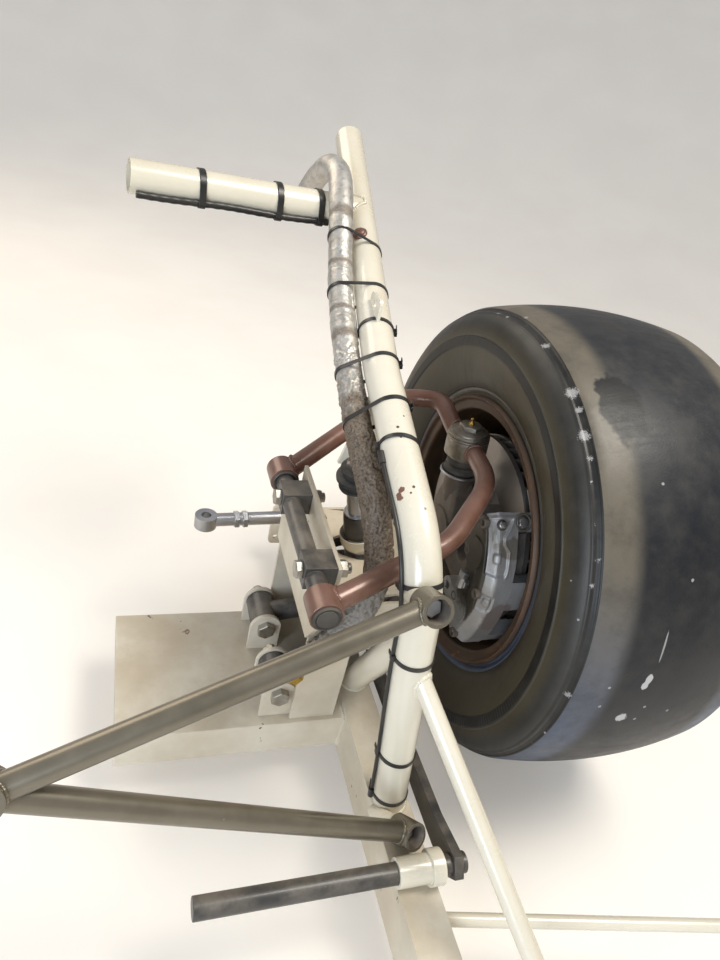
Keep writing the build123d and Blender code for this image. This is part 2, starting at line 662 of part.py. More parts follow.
# Hub on the spindle, with its flange and studs
wheel_centre = Vector(wheel_x, wheel_y, wheel_z)
spin = Vector(1, 0, 0)
hub_centre = wheel_centre + spin * mount_x
hub_face = -hat_face
bearing_gap = 0.3
hub_inner = 19.0 - spindle_setback
stud_places = [hub_centre + Vector(0, cos(turn), sin(turn)) * stud_circle_radius
               for turn in (2 * pi * index / studs for index in range(studs))]
with BuildPart() as hub:
    add(turned(hub_centre, spin, [
        (24.0, hub_inner), (hub_barrel_radius, hub_inner), (hub_barrel_radius, hub_face - hub_flange_thickness),
        (hub_flange_radius, hub_face - hub_flange_thickness), (hub_flange_radius, hub_face - 0.1),
        (hub_barrel_radius, hub_face - 0.1), (hub_barrel_radius, hub_nose_length), (28.0, hub_nose_length),
        (28.0, 8.0), (15.0 + bearing_gap, 8.0), (15.0 + bearing_gap, -14.0), (26.0, -14.0), (26.0, -70.0),
        (22.0 + bearing_gap, -70.0), (22.0 + bearing_gap, hub_inner + 4.0), (24.0, hub_inner + 4.0),
    ]))
    for place in stud_places:
        seat = place + spin * (hub_face - hub_flange_thickness - 4.0)
        add(rod(seat, seat + spin * (stud_length + 16.0), stud_radius))
keep(hub.part, "hub")

# Grease cap on the hub's nose
with BuildPart() as grease_cap:
    add(turned(hub_centre, spin, [
        (27.7, hub_nose_length - 10.0), (27.7, hub_nose_length + 0.3), (31.0, hub_nose_length + 0.3),
        (31.0, hub_nose_length + 4.0), (27.0, hub_nose_length + 6.0), (24.0, hub_nose_length + grease_cap_length),
        (0.0, hub_nose_length + grease_cap_length), (0.0, hub_nose_length + grease_cap_length - 2.0),
        (22.4, hub_nose_length + grease_cap_length - 2.0), (25.6, hub_nose_length - 10.0),
    ]))
keep(grease_cap.part, "grease_cap")

# Rotor hat, clamped between the hub and the wheel
rotor_face = rotor_centre + rotor_thickness / 2
hat_flange_radius = 110.0
with BuildPart() as rotor_hat:
    add(turned(wheel_centre, spin, [
        (hub_barrel_radius + 0.3, mount_x - hat_face), (hat_radius - hat_wall, mount_x - hat_face),
        (hat_radius - hat_wall, rotor_face + 0.1), (hat_flange_radius, rotor_face + 0.1),
        (hat_flange_radius, rotor_face + 6.0), (hat_radius, rotor_face + 6.0), (hat_radius, mount_x - 0.1),
        (hub_barrel_radius + 0.3, mount_x - 0.1),
    ]))
    for place in stud_places:
        add(rod(place - spin * 30.0, place + spin * 30.0, stud_radius + 0.2), mode=Mode.SUBTRACT)
keep(rotor_hat.part, "rotor_hat")

# Brake rotor: two plates joined by vanes
with BuildPart() as brake_rotor:
    for side in (0, 1):
        with BuildSketch(Plane.YZ.offset(wheel_x + rotor_centre - rotor_thickness / 2
                                         + side * (rotor_thickness - rotor_plate))):
            with Locations((wheel_y, wheel_z)):
                Circle(rotor_radius)
                Circle(rotor_inner_radius, mode=Mode.SUBTRACT)
        extrude(amount=rotor_plate)
    with BuildSketch(Plane.YZ.offset(wheel_x + rotor_centre - rotor_thickness / 2 + rotor_plate)):
        with Locations((wheel_y, wheel_z)):
            with PolarLocations((rotor_radius + rotor_inner_radius) / 2, rotor_vanes):
                Rectangle(rotor_radius - rotor_inner_radius - 4.0, 5.0)
    extrude(amount=rotor_thickness - 2 * rotor_plate)
keep(brake_rotor.part, "brake_rotor")

# Wheel: rolled barrel with its flanges, and the pressed disc welded inside
drop_radius = bead_radius - drop_centre_depth
barrel_radius = bead_radius - 1.5
seat_end = rim_half_width - bead_width - 4.0
with BuildPart() as wheel_rim:
    lip = rim_half_width + rim_lip_width
    outer_line = [
        (-lip, rim_flange_radius - 4.0), (-lip + 5.0, rim_flange_radius), (-rim_half_width - 3.0, rim_flange_radius),
        (-rim_half_width, rim_flange_radius - 5.0), (-rim_half_width, bead_radius), (-seat_end, bead_radius),
        (-seat_end + 4.0, barrel_radius), (drop_centre_start - 12.0, barrel_radius),
        (drop_centre_start, drop_radius), (drop_centre_end, drop_radius), (seat_end - 4.0, barrel_radius),
        (seat_end, bead_radius), (rim_half_width, bead_radius), (rim_half_width, rim_flange_radius - 5.0),
        (rim_half_width + 3.0, rim_flange_radius), (lip - 5.0, rim_flange_radius), (lip, rim_flange_radius - 4.0),
    ]
    inner_line = [
        (lip - 3.0, rim_flange_radius - 7.0), (rim_half_width + rim_wall, rim_flange_radius - 8.0),
        (rim_half_width + rim_wall, bead_radius - rim_wall), (seat_end - 2.0, bead_radius - rim_wall),
        (seat_end - 6.0, barrel_radius - rim_wall), (drop_centre_end - 2.0, drop_radius - rim_wall),
        (drop_centre_start + 2.0, drop_radius - rim_wall), (drop_centre_start - 10.0, barrel_radius - rim_wall),
        (-seat_end + 6.0, barrel_radius - rim_wall), (-seat_end + 2.0, bead_radius - rim_wall),
        (-rim_half_width - rim_wall, bead_radius - rim_wall), (-rim_half_width - rim_wall, rim_flange_radius - 8.0),
        (-lip + 3.0, rim_flange_radius - 7.0),
    ]
    add(turned(wheel_centre, spin, [(r, x) for x, r in outer_line + inner_line]))
    disc_edge = drop_radius - rim_wall
    disc_top = mount_x + disc_bulge
    skirt_start = drop_centre_start + 2.0
    skirt_end = skirt_start + 24.0
    add(turned(wheel_centre, spin, [
        (hub_barrel_radius + 0.3, mount_x), (disc_face_radius, mount_x), (disc_bulge_radius - 10.0, disc_top - 4.0),
        (disc_bulge_radius, disc_top), (disc_edge - 22.0, disc_top), (disc_edge + 0.1, skirt_start),
        (disc_edge + 0.1, skirt_end), (disc_edge - 5.0, skirt_end), (disc_edge - 5.0, skirt_start + 4.0),
        (disc_edge - 24.0, disc_top + disc_thickness), (disc_bulge_radius - 1.0, disc_top + disc_thickness),
        (disc_bulge_radius - 15.0, disc_top + 1.0), (disc_face_radius - 4.0, mount_x + disc_thickness),
        (hub_barrel_radius + 0.3, mount_x + disc_thickness),
    ]))
    for place in stud_places:
        add(rod(place - spin * 5.0, place + spin * 25.0, stud_radius + 0.6), mode=Mode.SUBTRACT)
    with BuildSketch(Plane.YZ.offset(wheel_x + disc_top - 8.0)):
        with Locations((wheel_y, wheel_z)):
            with PolarLocations(vent_hole_circle, vent_holes):
                Circle(vent_hole_radius)
    extrude(amount=disc_thickness + 16.0, mode=Mode.SUBTRACT)
keep(wheel_rim.part, "wheel_rim")

# Tyre: bead, bulged sidewalls and a broad bald tread
tyre_plane = Plane(origin=wheel_centre, x_dir=(1, 0, 0), z_dir=(0, -1, 0))
bead_inner = bead_radius + tyre_fit
side_in = tyre_half_section - tyre_sidewall
shoulder_radius = tyre_radius - tyre_crown
bead_heel = rim_half_width - tyre_fit
bead_toe = bead_heel - bead_width
flange_seat = rim_flange_radius + 1.5
tread_in = tyre_half_tread - 6.0
tread_radius_in = tyre_radius - tyre_tread_depth
shoulder_in = shoulder_radius - tyre_tread_depth
flare_radius = flange_seat + 0.35 * (tyre_bulge_radius - flange_seat)
outer_mid = tyre_bulge_radius + 0.6 * (shoulder_radius - tyre_bulge_radius)
inner_mid = tyre_bulge_radius + 0.67 * (shoulder_in - tyre_bulge_radius)
with BuildPart() as tyre:
    with BuildSketch(tyre_plane):
        with BuildLine():
            Line((bead_heel, bead_inner), (bead_heel, flange_seat))
            ThreePointArc((bead_heel, flange_seat), (bead_heel + sidewall_flare, flare_radius),
                          (tyre_half_section, tyre_bulge_radius))
            ThreePointArc((tyre_half_section, tyre_bulge_radius), (tyre_half_section - shoulder_flare, outer_mid),
                          (tyre_half_tread, shoulder_radius))
            ThreePointArc((tyre_half_tread, shoulder_radius), (0, tyre_radius), (-tyre_half_tread, shoulder_radius))
            ThreePointArc((-tyre_half_tread, shoulder_radius), (shoulder_flare - tyre_half_section, outer_mid),
                          (-tyre_half_section, tyre_bulge_radius))
            ThreePointArc((-tyre_half_section, tyre_bulge_radius), (-bead_heel - sidewall_flare, flare_radius),
                          (-bead_heel, flange_seat))
            Polyline((-bead_heel, flange_seat), (-bead_heel, bead_inner), (-bead_toe, bead_inner),
                     (-bead_toe, bead_inner + 10.0))
            ThreePointArc((-bead_toe, bead_inner + 10.0), (-bead_heel - 8.0, flare_radius),
                          (-side_in, tyre_bulge_radius))
            ThreePointArc((-side_in, tyre_bulge_radius), (6.0 - side_in, inner_mid), (-tread_in, shoulder_in))
            ThreePointArc((-tread_in, shoulder_in), (0, tread_radius_in), (tread_in, shoulder_in))
            ThreePointArc((tread_in, shoulder_in), (side_in - 6.0, inner_mid), (side_in, tyre_bulge_radius))
            ThreePointArc((side_in, tyre_bulge_radius), (bead_heel + 8.0, flare_radius),
                          (bead_toe, bead_inner + 10.0))
            Polyline((bead_toe, bead_inner + 10.0), (bead_toe, bead_inner), (bead_heel, bead_inner))
        make_face()
    revolve(axis=Axis(wheel_centre, spin))
keep(tyre.part, "tyre")

# Lug nuts
with BuildPart() as lug_nuts:
    for place in stud_places:
        add(hexagon(place + spin * (disc_thickness + 0.1), spin, lug_nut_flats, lug_nut_height))
    for place in stud_places:
        add(rod(place, place + spin * 80.0, stud_radius + 0.1), mode=Mode.SUBTRACT)
keep(lug_nuts.part, "lug_nuts")

# Caliper, ahead of the axle: two halves joined by three bridges, with two windows between them
caliper_inner_radius = 112.0
caliper_outer_radius = 176.0
caliper_inboard_depth = 56.0
caliper_outboard_depth = 50.0
caliper_edge = 14.0
pad_thickness = 13.7
pad_gap = 0.3
caliper_low = -30.0
caliper_high = 45.0
windows = ((-22.0, -1.6), (13.6, 36.6))
bridge_inner_radius = rotor_radius + 4.0
piston_angles = (-11.8, 25.1)
piston_circle = 142.0
piston_cap_radius = 23.0
lug_angles = (-21.0, 36.0)
lug_circle = 97.0
lug_thickness = 20.0
lug_bolt_radius = 6.5
caliper_in = rotor_centre - rotor_thickness / 2 - pad_gap - pad_thickness
caliper_out = rotor_centre + rotor_thickness / 2 + pad_gap + pad_thickness
caliper_face = caliper_in - caliper_inboard_depth


def ahead(radius, angle, x=0.0):
    """Give a place beside the axle, its angle in degrees measured up from straight ahead."""
    turn = radians(angle)
    return wheel_centre + Vector(x, -radius * cos(turn), radius * sin(turn))


def sector(inner, outer, low, high):
    """Draw a ring sector about the axle, its angles measured up from straight ahead."""
    places = []
    for radius in (inner, outer):
        for angle in (low, (low + high) / 2, high):
            place = ahead(radius, angle)
            places.append((place.Y, place.Z))
    with BuildSketch() as result:
        with BuildLine():
            ThreePointArc(*places[:3])
            Line(places[2], places[5])
            ThreePointArc(places[5], places[4], places[3])
            Line(places[3], places[0])
        make_face()
    return result.sketch


def turned_between(outline, low, high):
    """Turn an outline of (radius, x) places about the axle, from one angle up to another."""
    out = (ahead(1.0, low) - wheel_centre).normalized()
    with BuildPart() as result:
        with BuildSketch(Plane(origin=wheel_centre, x_dir=out, z_dir=out.cross(spin))):
            with BuildLine():
                Polyline(*outline, close=True)
            make_face()
        revolve(axis=Axis(wheel_centre, spin * -1), revolution_arc=high - low)
    return result.part


with BuildPart() as caliper:
    for inner_face, side, depth in ((caliper_in, -1, caliper_inboard_depth), (caliper_out, 1, caliper_outboard_depth)):
        edge_x = inner_face + side * (depth - caliper_edge)
        face_x = inner_face + side * depth
        add(turned_between([
            (caliper_inner_radius, inner_face), (caliper_inner_radius, edge_x), (caliper_inner_radius + 8.0, face_x),
            (caliper_outer_radius - caliper_edge, face_x), (caliper_outer_radius, edge_x),
            (caliper_outer_radius, inner_face),
        ], caliper_low, caliper_high))
    bridges = (
        (caliper_low, windows[0][0], caliper_in - 1.0, caliper_out + 1.0),
        (windows[0][1], windows[1][0], caliper_in - 1.0, caliper_out + 1.0),
        (windows[1][1], caliper_high, caliper_in - 1.0, caliper_out + 1.0),
        (caliper_high - 1.0, caliper_high + 13.0, rotor_centre - 10.0, caliper_out + 8.0),
    )
    for low, high, start_x, end_x in bridges:
        add(turned_between([
            (bridge_inner_radius, start_x), (bridge_inner_radius, end_x), (caliper_outer_radius - 0.5, end_x),
            (caliper_outer_radius - 0.5, start_x),
        ], low, high))
    for angle in piston_angles:
        add(rod(ahead(piston_circle, angle, caliper_face - 5.0), ahead(piston_circle, angle, caliper_face + 2.0),
                piston_cap_radius))
    for angle in lug_angles:
        lug = ahead(lug_circle, angle)
        with BuildSketch(Plane.YZ.offset(wheel_x + caliper_face)):
            add(sector(lug_circle, caliper_inner_radius + 9.0, angle - 8.0, angle + 8.0))
            with Locations((lug.Y, lug.Z)):
                Circle(14.0)
        extrude(amount=lug_thickness)
        add(rod(ahead(lug_circle, angle, caliper_face - 20.0), ahead(lug_circle, angle, caliper_in),
                lug_bolt_radius), mode=Mode.SUBTRACT)
keep(caliper.part, "caliper")

# Brake pads, one on each side of the rotor
with BuildPart() as brake_pads:
    for start in (caliper_in + 0.1, caliper_out - pad_thickness - 0.1):
        with BuildSketch(Plane.YZ.offset(wheel_x + start)):
            add(sector(caliper_inner_radius + 2.0, rotor_radius + 2.0, windows[0][0] + 1.0, windows[1][1] - 1.0))
        extrude(amount=pad_thickness)
keep(brake_pads.part, "brake_pads")

# Bracket from the upright out to the caliper's two lugs
bracket_thickness = 12.0
with BuildPart() as caliper_bracket:
    with BuildSketch(Plane.YZ.offset(wheel_x + caliper_face + lug_thickness + 0.2)):
        with Locations((wheel_y - 6.0, wheel_z)):
            Circle(32.0)
        for angle in lug_angles:
            lug = ahead(lug_circle, angle)
            with Locations((lug.Y, lug.Z)):
                Circle(14.0)
        make_hull()
        with Locations(*[(ahead(lug_circle, angle).Y, ahead(lug_circle, angle).Z) for angle in lug_angles]):
            Circle(lug_bolt_radius, mode=Mode.SUBTRACT)
        hole = ahead(66.0, sum(lug_angles) / 2)
        with Locations((hole.Y, hole.Z)):
            Circle(15.0, mode=Mode.SUBTRACT)
    extrude(amount=bracket_thickness)
    add(upright.part, mode=Mode.SUBTRACT)
keep(Part(caliper_bracket.part.solids().sort_by(SortBy.VOLUME)[-1].wrapped), "caliper_bracket")

# Fitting for the brake line, on the caliper's inboard half
fitting_seat = from_wheel(caliper_face, -133.0, 10.0)
with BuildPart() as brake_fitting:
    stub = fitting_seat - spin * 9.0
    add(rod(fitting_seat - spin * 0.3, stub, 6.0))
    add(hexagon(fitting_seat - spin * 3.0, spin * -1, 16.0, 5.0))
    add(rod(stub - Vector(0, 0, 7.0), stub + Vector(0, 0, 20.0), 5.5))
    add(hexagon(stub + Vector(0, 0, 11.0), Vector(0, 0, 1), 13.0, 8.0))
keep(brake_fitting.part, "brake_fitting")

# Removable V brace across the engine bay, bolted to the main tube and to the rail
eye_radius = 17.0
eye_bore = 13.0
eye_length = 34.0
eye_hole = 6.6
upper_eye = from_wheel(-348.0, -318.0, 152.0)
lower_eye = from_wheel(-301.0, -362.0, -187.0)
brace_apex = from_wheel(-740.0, -396.0, 40.0)
upper_eye_axis = Vector(0, -0.889, 0.458).normalized()
lower_eye_axis = Vector(0.36, -0.77, 0.53).normalized()
eyes = ((upper_eye, upper_eye_axis), (lower_eye, lower_eye_axis))
with BuildPart() as v_brace:
    for eye, axis in eyes:
        add(rod(eye, brace_apex, brace_tube_outer / 2))
        add(rod(eye - axis * eye_length / 2, eye + axis * eye_length / 2, eye_radius))
    add(rod(brace_apex - upper_eye_axis * eye_length / 2, brace_apex + upper_eye_axis * eye_length / 2, eye_radius))
    for eye, axis in eyes:
        add(rod(eye - axis * (eye_length / 2 - 8.0), eye + axis * eye_length, eye_bore), mode=Mode.SUBTRACT)
        add(rod(eye - axis * eye_length, eye, eye_hole), mode=Mode.SUBTRACT)
    add(rod(brace_apex - upper_eye_axis * eye_length, brace_apex + upper_eye_axis * eye_length, 8.0),
        mode=Mode.SUBTRACT)
keep(v_brace.part, "v_brace")

# Bosses welded to the main tube and the rail, which take the brace's bolts
boss_gap = 0.3
bolt_reach = 10.0
with BuildPart() as brace_bosses:
    for eye, axis in eyes:
        back = eye - axis * (eye_length / 2 + boss_gap)
        add(rod(back - axis * 44.0, back, 12.0))
    add(main_solid, mode=Mode.SUBTRACT)
    split(bisect_by=Plane.XY.offset(rail_top + weld_gap), keep=Keep.TOP)
    for eye, axis in eyes:
        add(rod(eye - axis * (eye_length / 2 + boss_gap + bolt_reach), eye, eye_hole - 0.1), mode=Mode.SUBTRACT)
boss_pieces = []
for eye, axis in eyes:
    boss_pieces.append(brace_bosses.part.solids().sort_by_distance(eye)[0])
keep(Part(Compound(children=boss_pieces).wrapped), "brace_bosses")

with BuildPart() as brace_bolts:
    for eye, axis in eyes:
        seat = eye - axis * (eye_length / 2 - 8.0 - 0.1)
        add(rod(eye - axis * (eye_length / 2 + bolt_reach - 1.0), seat, eye_hole - 0.25))
        add(rod(seat, seat + axis * 2.5, 11.5))
        add(hexagon(seat + axis * 2.5, axis, 19.0, 8.5))
keep(brace_bolts.part, "brace_bolts")

# Hinge tab on the main tube, with its hole for the hood's stay
tab_centre = from_wheel(-342.0, 44.0, 320.0)
with BuildPart() as hinge_tab:
    with BuildSketch(Plane(origin=tab_centre, x_dir=(0, 1, 0), z_dir=(1, 0, 0))):
        RectangleRounded(40.0, 34.0, 8.0)
        with Locations((0, 6.0)):
            Circle(4.6, mode=Mode.SUBTRACT)
    extrude(amount=4.0)
    add(main_solid, mode=Mode.SUBTRACT)
keep(hinge_tab.part, "hinge_tab")

# Sway bar over the rail, its sleeve, arm and link
sway_seat = Vector(0, wheel_y + sway_bar_y, wheel_z + sway_bar_z)
sway_sleeve_radius = 17.0
with BuildPart() as sway_bar:
    add(rod(sway_seat + Vector(wheel_x - 560.0, 0, 0), sway_seat + Vector(sway_arm_x + 20.0, 0, 0), sway_bar_radius))
keep(sway_bar.part, "sway_bar")

with BuildPart() as sway_bar_sleeve:
    add(rod(sway_seat + Vector(wheel_x - 327.0, 0, 0), sway_seat + Vector(wheel_x - 286.0, 0, 0), sway_sleeve_radius))
    add(rod(sway_seat + Vector(wheel_x - 286.0, 0, 0), sway_seat + Vector(wheel_x - 270.0, 0, 0), 21.0))
    add(rod(sway_seat + Vector(-200, 0, 0), sway_seat + Vector(200, 0, 0), sway_bar_radius + 0.3), mode=Mode.SUBTRACT)
    split(bisect_by=Plane.XY.offset(rail_top + weld_gap), keep=Keep.TOP)
keep(sway_bar_sleeve.part, "sway_bar_sleeve")

with BuildPart() as sway_bar_arm:
    with BuildSketch(Plane.YZ.offset(sway_arm_x)):
        with BuildLine():
            Polyline((sway_seat.Y - 4.0, sway_seat.Z + 20.0), (sway_seat.Y + 60.0, sway_seat.Z + 6.0),
                     (arm_end.Y, arm_end.Z + 13.0), (arm_end.Y + 16.0, arm_end.Z), (arm_end.Y, arm_end.Z - 13.0),
                     (sway_seat.Y + 40.0, sway_seat.Z - 28.0), (sway_seat.Y - 4.0, sway_seat.Z - 20.0),
                     (sway_seat.Y - 20.0, sway_seat.Z), close=True)
        make_face()
        with Locations((sway_seat.Y, sway_seat.Z)):
            Circle(sway_bar_radius + 0.1, mode=Mode.SUBTRACT)
        with Locations((arm_end.Y, arm_end.Z)):
            Circle(link_pin_radius + 0.2, mode=Mode.SUBTRACT)
    extrude(amount=arm_thickness)
keep(sway_bar_arm.part, "sway_bar_arm")

# Link from the sway bar's arm up to the lower arm, with a pin at each eye
link_x = sway_arm_x + arm_thickness + 0.5
link_low = Vector(link_x, arm_end.Y, arm_end.Z)
link_high = Vector(link_x, link_top.Y, link_top.Z)
across = Vector(12, 0, 0)
with BuildPart() as sway_bar_link:
    add(rod(link_low + across / 2, link_high + across / 2, 5.5))
    for eye, depth in ((link_low, arm_thickness + 0.5), (link_high, link_tab + 0.5)):
        add(rod(eye, eye + across, 11.0))
        add(rod(eye - spin * (depth + 4.0), eye + across, link_pin_radius))
        add(hexagon(eye + across, spin, 15.0, 6.0))
        add(hexagon(eye - spin * (depth + 0.2), spin * -1, 15.0, 6.0))
keep(sway_bar_link.part, "sway_bar_link")

# Heat sleeved hose, tied along the main tube, with a fitting at each end
hose_outer = 34.0
hose_route = [from_wheel(*place) for place in (
    (-364, 418, 360), (-356, 392, 398), (-352, 340, 430), (-352, 272, 432), (-358, 212, 394), (-365, 152, 344),
    (-371, 95, 308), (-374, 30, 272), (-375, -30, 240), (-372, -84, 208), (-362, -128, 172), (-352, -156, 130),
    (-344, -178, 84), (-349, -185, 38), (-364, -185, -6), (-387, -183, -44), (-411, -181, -74),
)]
hose_radii = []
for before, place, after in zip(hose_route, hose_route[1:], hose_route[2:]):
    turn = radians((place - before).get_angle(after - place))
    shorter = min((place - before).length, (after - place).length)
    hose_radii.append(0.45 * shorter / tan(turn / 2))
with BuildPart() as sleeved_hose:
    add(swept(hose_route, hose_radii, hose_outer, 0, solid=True))
keep(sleeved_hose.part, "sleeved_hose")

with BuildPart() as hose_fittings:
    for end, inner in ((hose_route[0], hose_route[1]), (hose_route[-1], hose_route[-2])):
        away = (end - inner).normalized()
        add(rod(end + away * 0.3, end + away * 16.0, 15.0))
        add(hexagon(end + away * 16.0, away, 34.0, 14.0))
        add(rod(end - away * 1.0, end + away * 60.0, 9.0), mode=Mode.SUBTRACT)
keep(hose_fittings.part, "hose_fittings")

# Ties that hold the hose to the main tube, each a loop round both, with its head on the tube
tie_stations = (577.0, 645.0, 772.0, 862.0)
tie_width = 4.8
tie_thickness = 1.4
tie_clearance = 0.3
tie_head = 8.0
hose_line = FilletPolyline(*hose_route, radius=hose_radii)


def crossing(line, plane):
    """Find where a line passes through a plane near its origin, and how the line leans there."""
    along = min((index / 100 for index in range(101)), key=lambda t: (line @ t - plane.origin).length)
    for _ in range(6):
        upright_share = (line % along).dot(plane.z_dir)
        along -= plane.to_local_coords(line @ along).Z / (upright_share * line.length)
    spot = plane.to_local_coords(line @ along)
    return spot, abs((line % along).dot(plane.z_dir))


def loop_round(spot, first_radius, second_radius):
    """Draw the tight outline round a circle at the origin and one at a spot."""
    with BuildSketch() as result:
        Circle(first_radius)
        with Locations((spot.X, spot.Y)):
            Circle(second_radius)
        make_hull()
    return result.sketch


with BuildPart() as hose_ties:
    for station in tie_stations:
        share = station / main_line.length
        tie_plane = Plane(origin=main_line @ share, z_dir=main_line % share)
        spot, straight = crossing(hose_line, tie_plane)
        lean = (1 - straight ** 2) ** 0.5 / straight
        tube_seat = main_tube_outer / 2 + tie_clearance
        hose_seat = hose_outer / 2 / straight + lean * tie_width / 2 + tie_clearance
        away = Vector(-spot.X, -spot.Y, 0).normalized()
        with BuildSketch(tie_plane):
            add(loop_round(spot, tube_seat + tie_thickness, hose_seat + tie_thickness))
            with Locations(away * (tube_seat + tie_head / 2)):
                Rectangle(tie_head, tie_head)
            add(loop_round(spot, tube_seat, hose_seat), mode=Mode.SUBTRACT)
        extrude(amount=tie_width / 2, both=True)
keep(hose_ties.part, "hose_ties")
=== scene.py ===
"""The front left wheel corner of a stock car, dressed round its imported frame.

Lengths are metres in the part's own frame, with +X outboard, +Y to the car's rear and +Z up. Places
that the part's design gives from the wheel's centre are written in millimetres, and place() brings
them into the frame. Each sub-assembly is a class that makes its surfaces and dresses its CAD pieces.
"""

from __future__ import annotations

import json
import logging
import math
from contextlib import contextmanager
from dataclasses import dataclass
from enum import Enum
from functools import reduce
from typing import Callable, Iterable, Iterator, Sequence

import bmesh
import bpy
import numpy as np
from mathutils import Matrix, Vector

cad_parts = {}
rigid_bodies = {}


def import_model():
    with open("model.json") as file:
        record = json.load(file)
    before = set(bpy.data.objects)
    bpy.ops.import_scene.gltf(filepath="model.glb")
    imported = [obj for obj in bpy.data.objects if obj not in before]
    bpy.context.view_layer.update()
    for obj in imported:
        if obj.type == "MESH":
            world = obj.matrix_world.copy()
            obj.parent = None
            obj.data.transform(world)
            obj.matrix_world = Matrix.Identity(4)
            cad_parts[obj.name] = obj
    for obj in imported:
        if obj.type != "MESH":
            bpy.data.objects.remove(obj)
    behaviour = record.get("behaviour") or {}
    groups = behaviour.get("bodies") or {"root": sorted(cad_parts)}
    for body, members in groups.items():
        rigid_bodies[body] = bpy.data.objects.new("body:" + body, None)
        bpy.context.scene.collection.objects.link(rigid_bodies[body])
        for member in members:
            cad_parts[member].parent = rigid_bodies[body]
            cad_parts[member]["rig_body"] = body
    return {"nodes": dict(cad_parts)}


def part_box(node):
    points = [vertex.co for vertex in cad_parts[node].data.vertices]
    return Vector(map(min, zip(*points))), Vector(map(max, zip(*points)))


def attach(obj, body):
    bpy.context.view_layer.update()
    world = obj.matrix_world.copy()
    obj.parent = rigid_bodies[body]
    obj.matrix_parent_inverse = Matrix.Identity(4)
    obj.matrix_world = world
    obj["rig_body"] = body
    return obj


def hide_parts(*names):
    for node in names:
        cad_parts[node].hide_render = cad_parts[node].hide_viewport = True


log = logging.getLogger("wheel_corner")

Array = np.ndarray
Color = tuple[float, float, float]
Socket = bpy.types.NodeSocket
Value = Socket | float | tuple

MILLIMETRE = 0.001
WHEEL_CENTRE = np.array([0.298, -0.330, 0.250])
AXLE = np.array([1.0, 0.0, 0.0])
REARWARD = np.array([0.0, 1.0, 0.0])
UP = np.array([0.0, 0.0, 1.0])
SAME_POINT = 1e-6
BEAD_PITCH = 0.0032
FULL_TURN = 2 * math.pi


def place(*point: float) -> Array:
    """Turn millimetres from the wheel's centre into a place in the frame."""
    return WHEEL_CENTRE + MILLIMETRE * np.array(point)


def places(points: Iterable[Sequence[float]]) -> Array:
    """Turn rows of millimetres from the wheel's centre into places in the frame."""
    return WHEEL_CENTRE + MILLIMETRE * np.array(list(points), float)


def unit(vectors: Array) -> Array:
    """Scale vectors to length one."""
    return vectors / np.maximum(np.linalg.norm(vectors, axis=-1, keepdims=True), 1e-12)


def smooth_step(low: float, high: float, value: Array) -> Array:
    """Rise from 0 to 1 between two values, as 3t^2 - 2t^3 of the share t of the way."""
    share = np.clip((value - low) / (high - low), 0, 1)
    return share * share * (3 - 2 * share)


def travelled(points: Array) -> Array:
    """Give the length travelled along a line up to each of its points."""
    return np.r_[0, np.cumsum(np.linalg.norm(np.diff(points, axis=0), axis=1))]


def resample(points: Array, spacing: float) -> Array:
    """Place points at even distances along a line of points.

    Args:
        points: rows of places along the line.
        spacing: the wanted distance between neighbours.

    Returns:
        Rows of places, each coordinate interpolated over the length travelled.
    """
    length = travelled(points)
    stops = np.linspace(0, length[-1], max(2, round(length[-1] / spacing) + 1))
    return np.stack([np.interp(stops, length, column) for column in points.T], axis=1)


def resample_loop(loop: Array, spacing: float) -> Array:
    """Place points at even distances round a closed line, the first not repeated."""
    return resample(np.concatenate([loop, loop[:1]]), spacing)[:-1]


def rounded_route(corners: Array, radii: Sequence[float], spacing: float = 0.004) -> Array:
    """Follow straight runs joined by tangent arcs.

    Each arc's centre is on the corner's bisector, at radius / sin(half the angle between the runs),
    and its points are unit spokes from that centre times the radius.

    Args:
        corners: rows of places, ends included.
        radii: one radius for each inner corner.
        spacing: the distance between neighbouring points.

    Returns:
        Rows of places along the rounded line.
    """
    pieces = [corners[:1]]
    for before, corner, after, radius in zip(corners, corners[1:], corners[2:], radii):
        back, ahead = unit(before - corner), unit(after - corner)
        half = math.acos(float(np.clip(back @ ahead, -1, 1))) / 2
        centre = corner + unit(back + ahead) * radius / math.sin(half)
        start, end = corner + back * radius / math.tan(half), corner + ahead * radius / math.tan(half)
        share = np.linspace(0, 1, 33)[:, None]
        spokes = unit((start - centre) * (1 - share) + (end - centre) * share)
        pieces.append(centre + spokes * radius)
    pieces.append(corners[-1:])
    return resample(np.concatenate(pieces), spacing)


def widest_bends(route: Array) -> Array:
    """Give the largest rounding that each inner corner holds.

    Args:
        route: rows of places, ends included.

    Returns:
        0.45 * the shorter run beside each corner / tan(half its turn).
    """
    runs = np.diff(route, axis=0)
    lengths = np.linalg.norm(runs, axis=1)
    straight = (unit(runs[:-1]) * unit(runs[1:])).sum(axis=1)
    half_turns = np.arccos(np.clip(straight, -1, 1)) / 2
    return 0.45 * np.minimum(lengths[:-1], lengths[1:]) / np.maximum(np.tan(half_turns), 1e-6)


def eased_outline(corners: Array, radius: float, spacing: float) -> Array:
    """Round every corner of a closed outline.

    Args:
        corners: rows of places round the outline.
        radius: the rounding, made smaller where the runs beside a corner can't hold it.
        spacing: the distance between neighbouring points.

    Returns:
        Rows of places round the eased outline, the first not repeated.
    """
    start = (corners[:1] + corners[-1:]) / 2
    route = np.concatenate([start, corners, start])
    return rounded_route(route, np.minimum(radius, widest_bends(route)), spacing)[:-1]


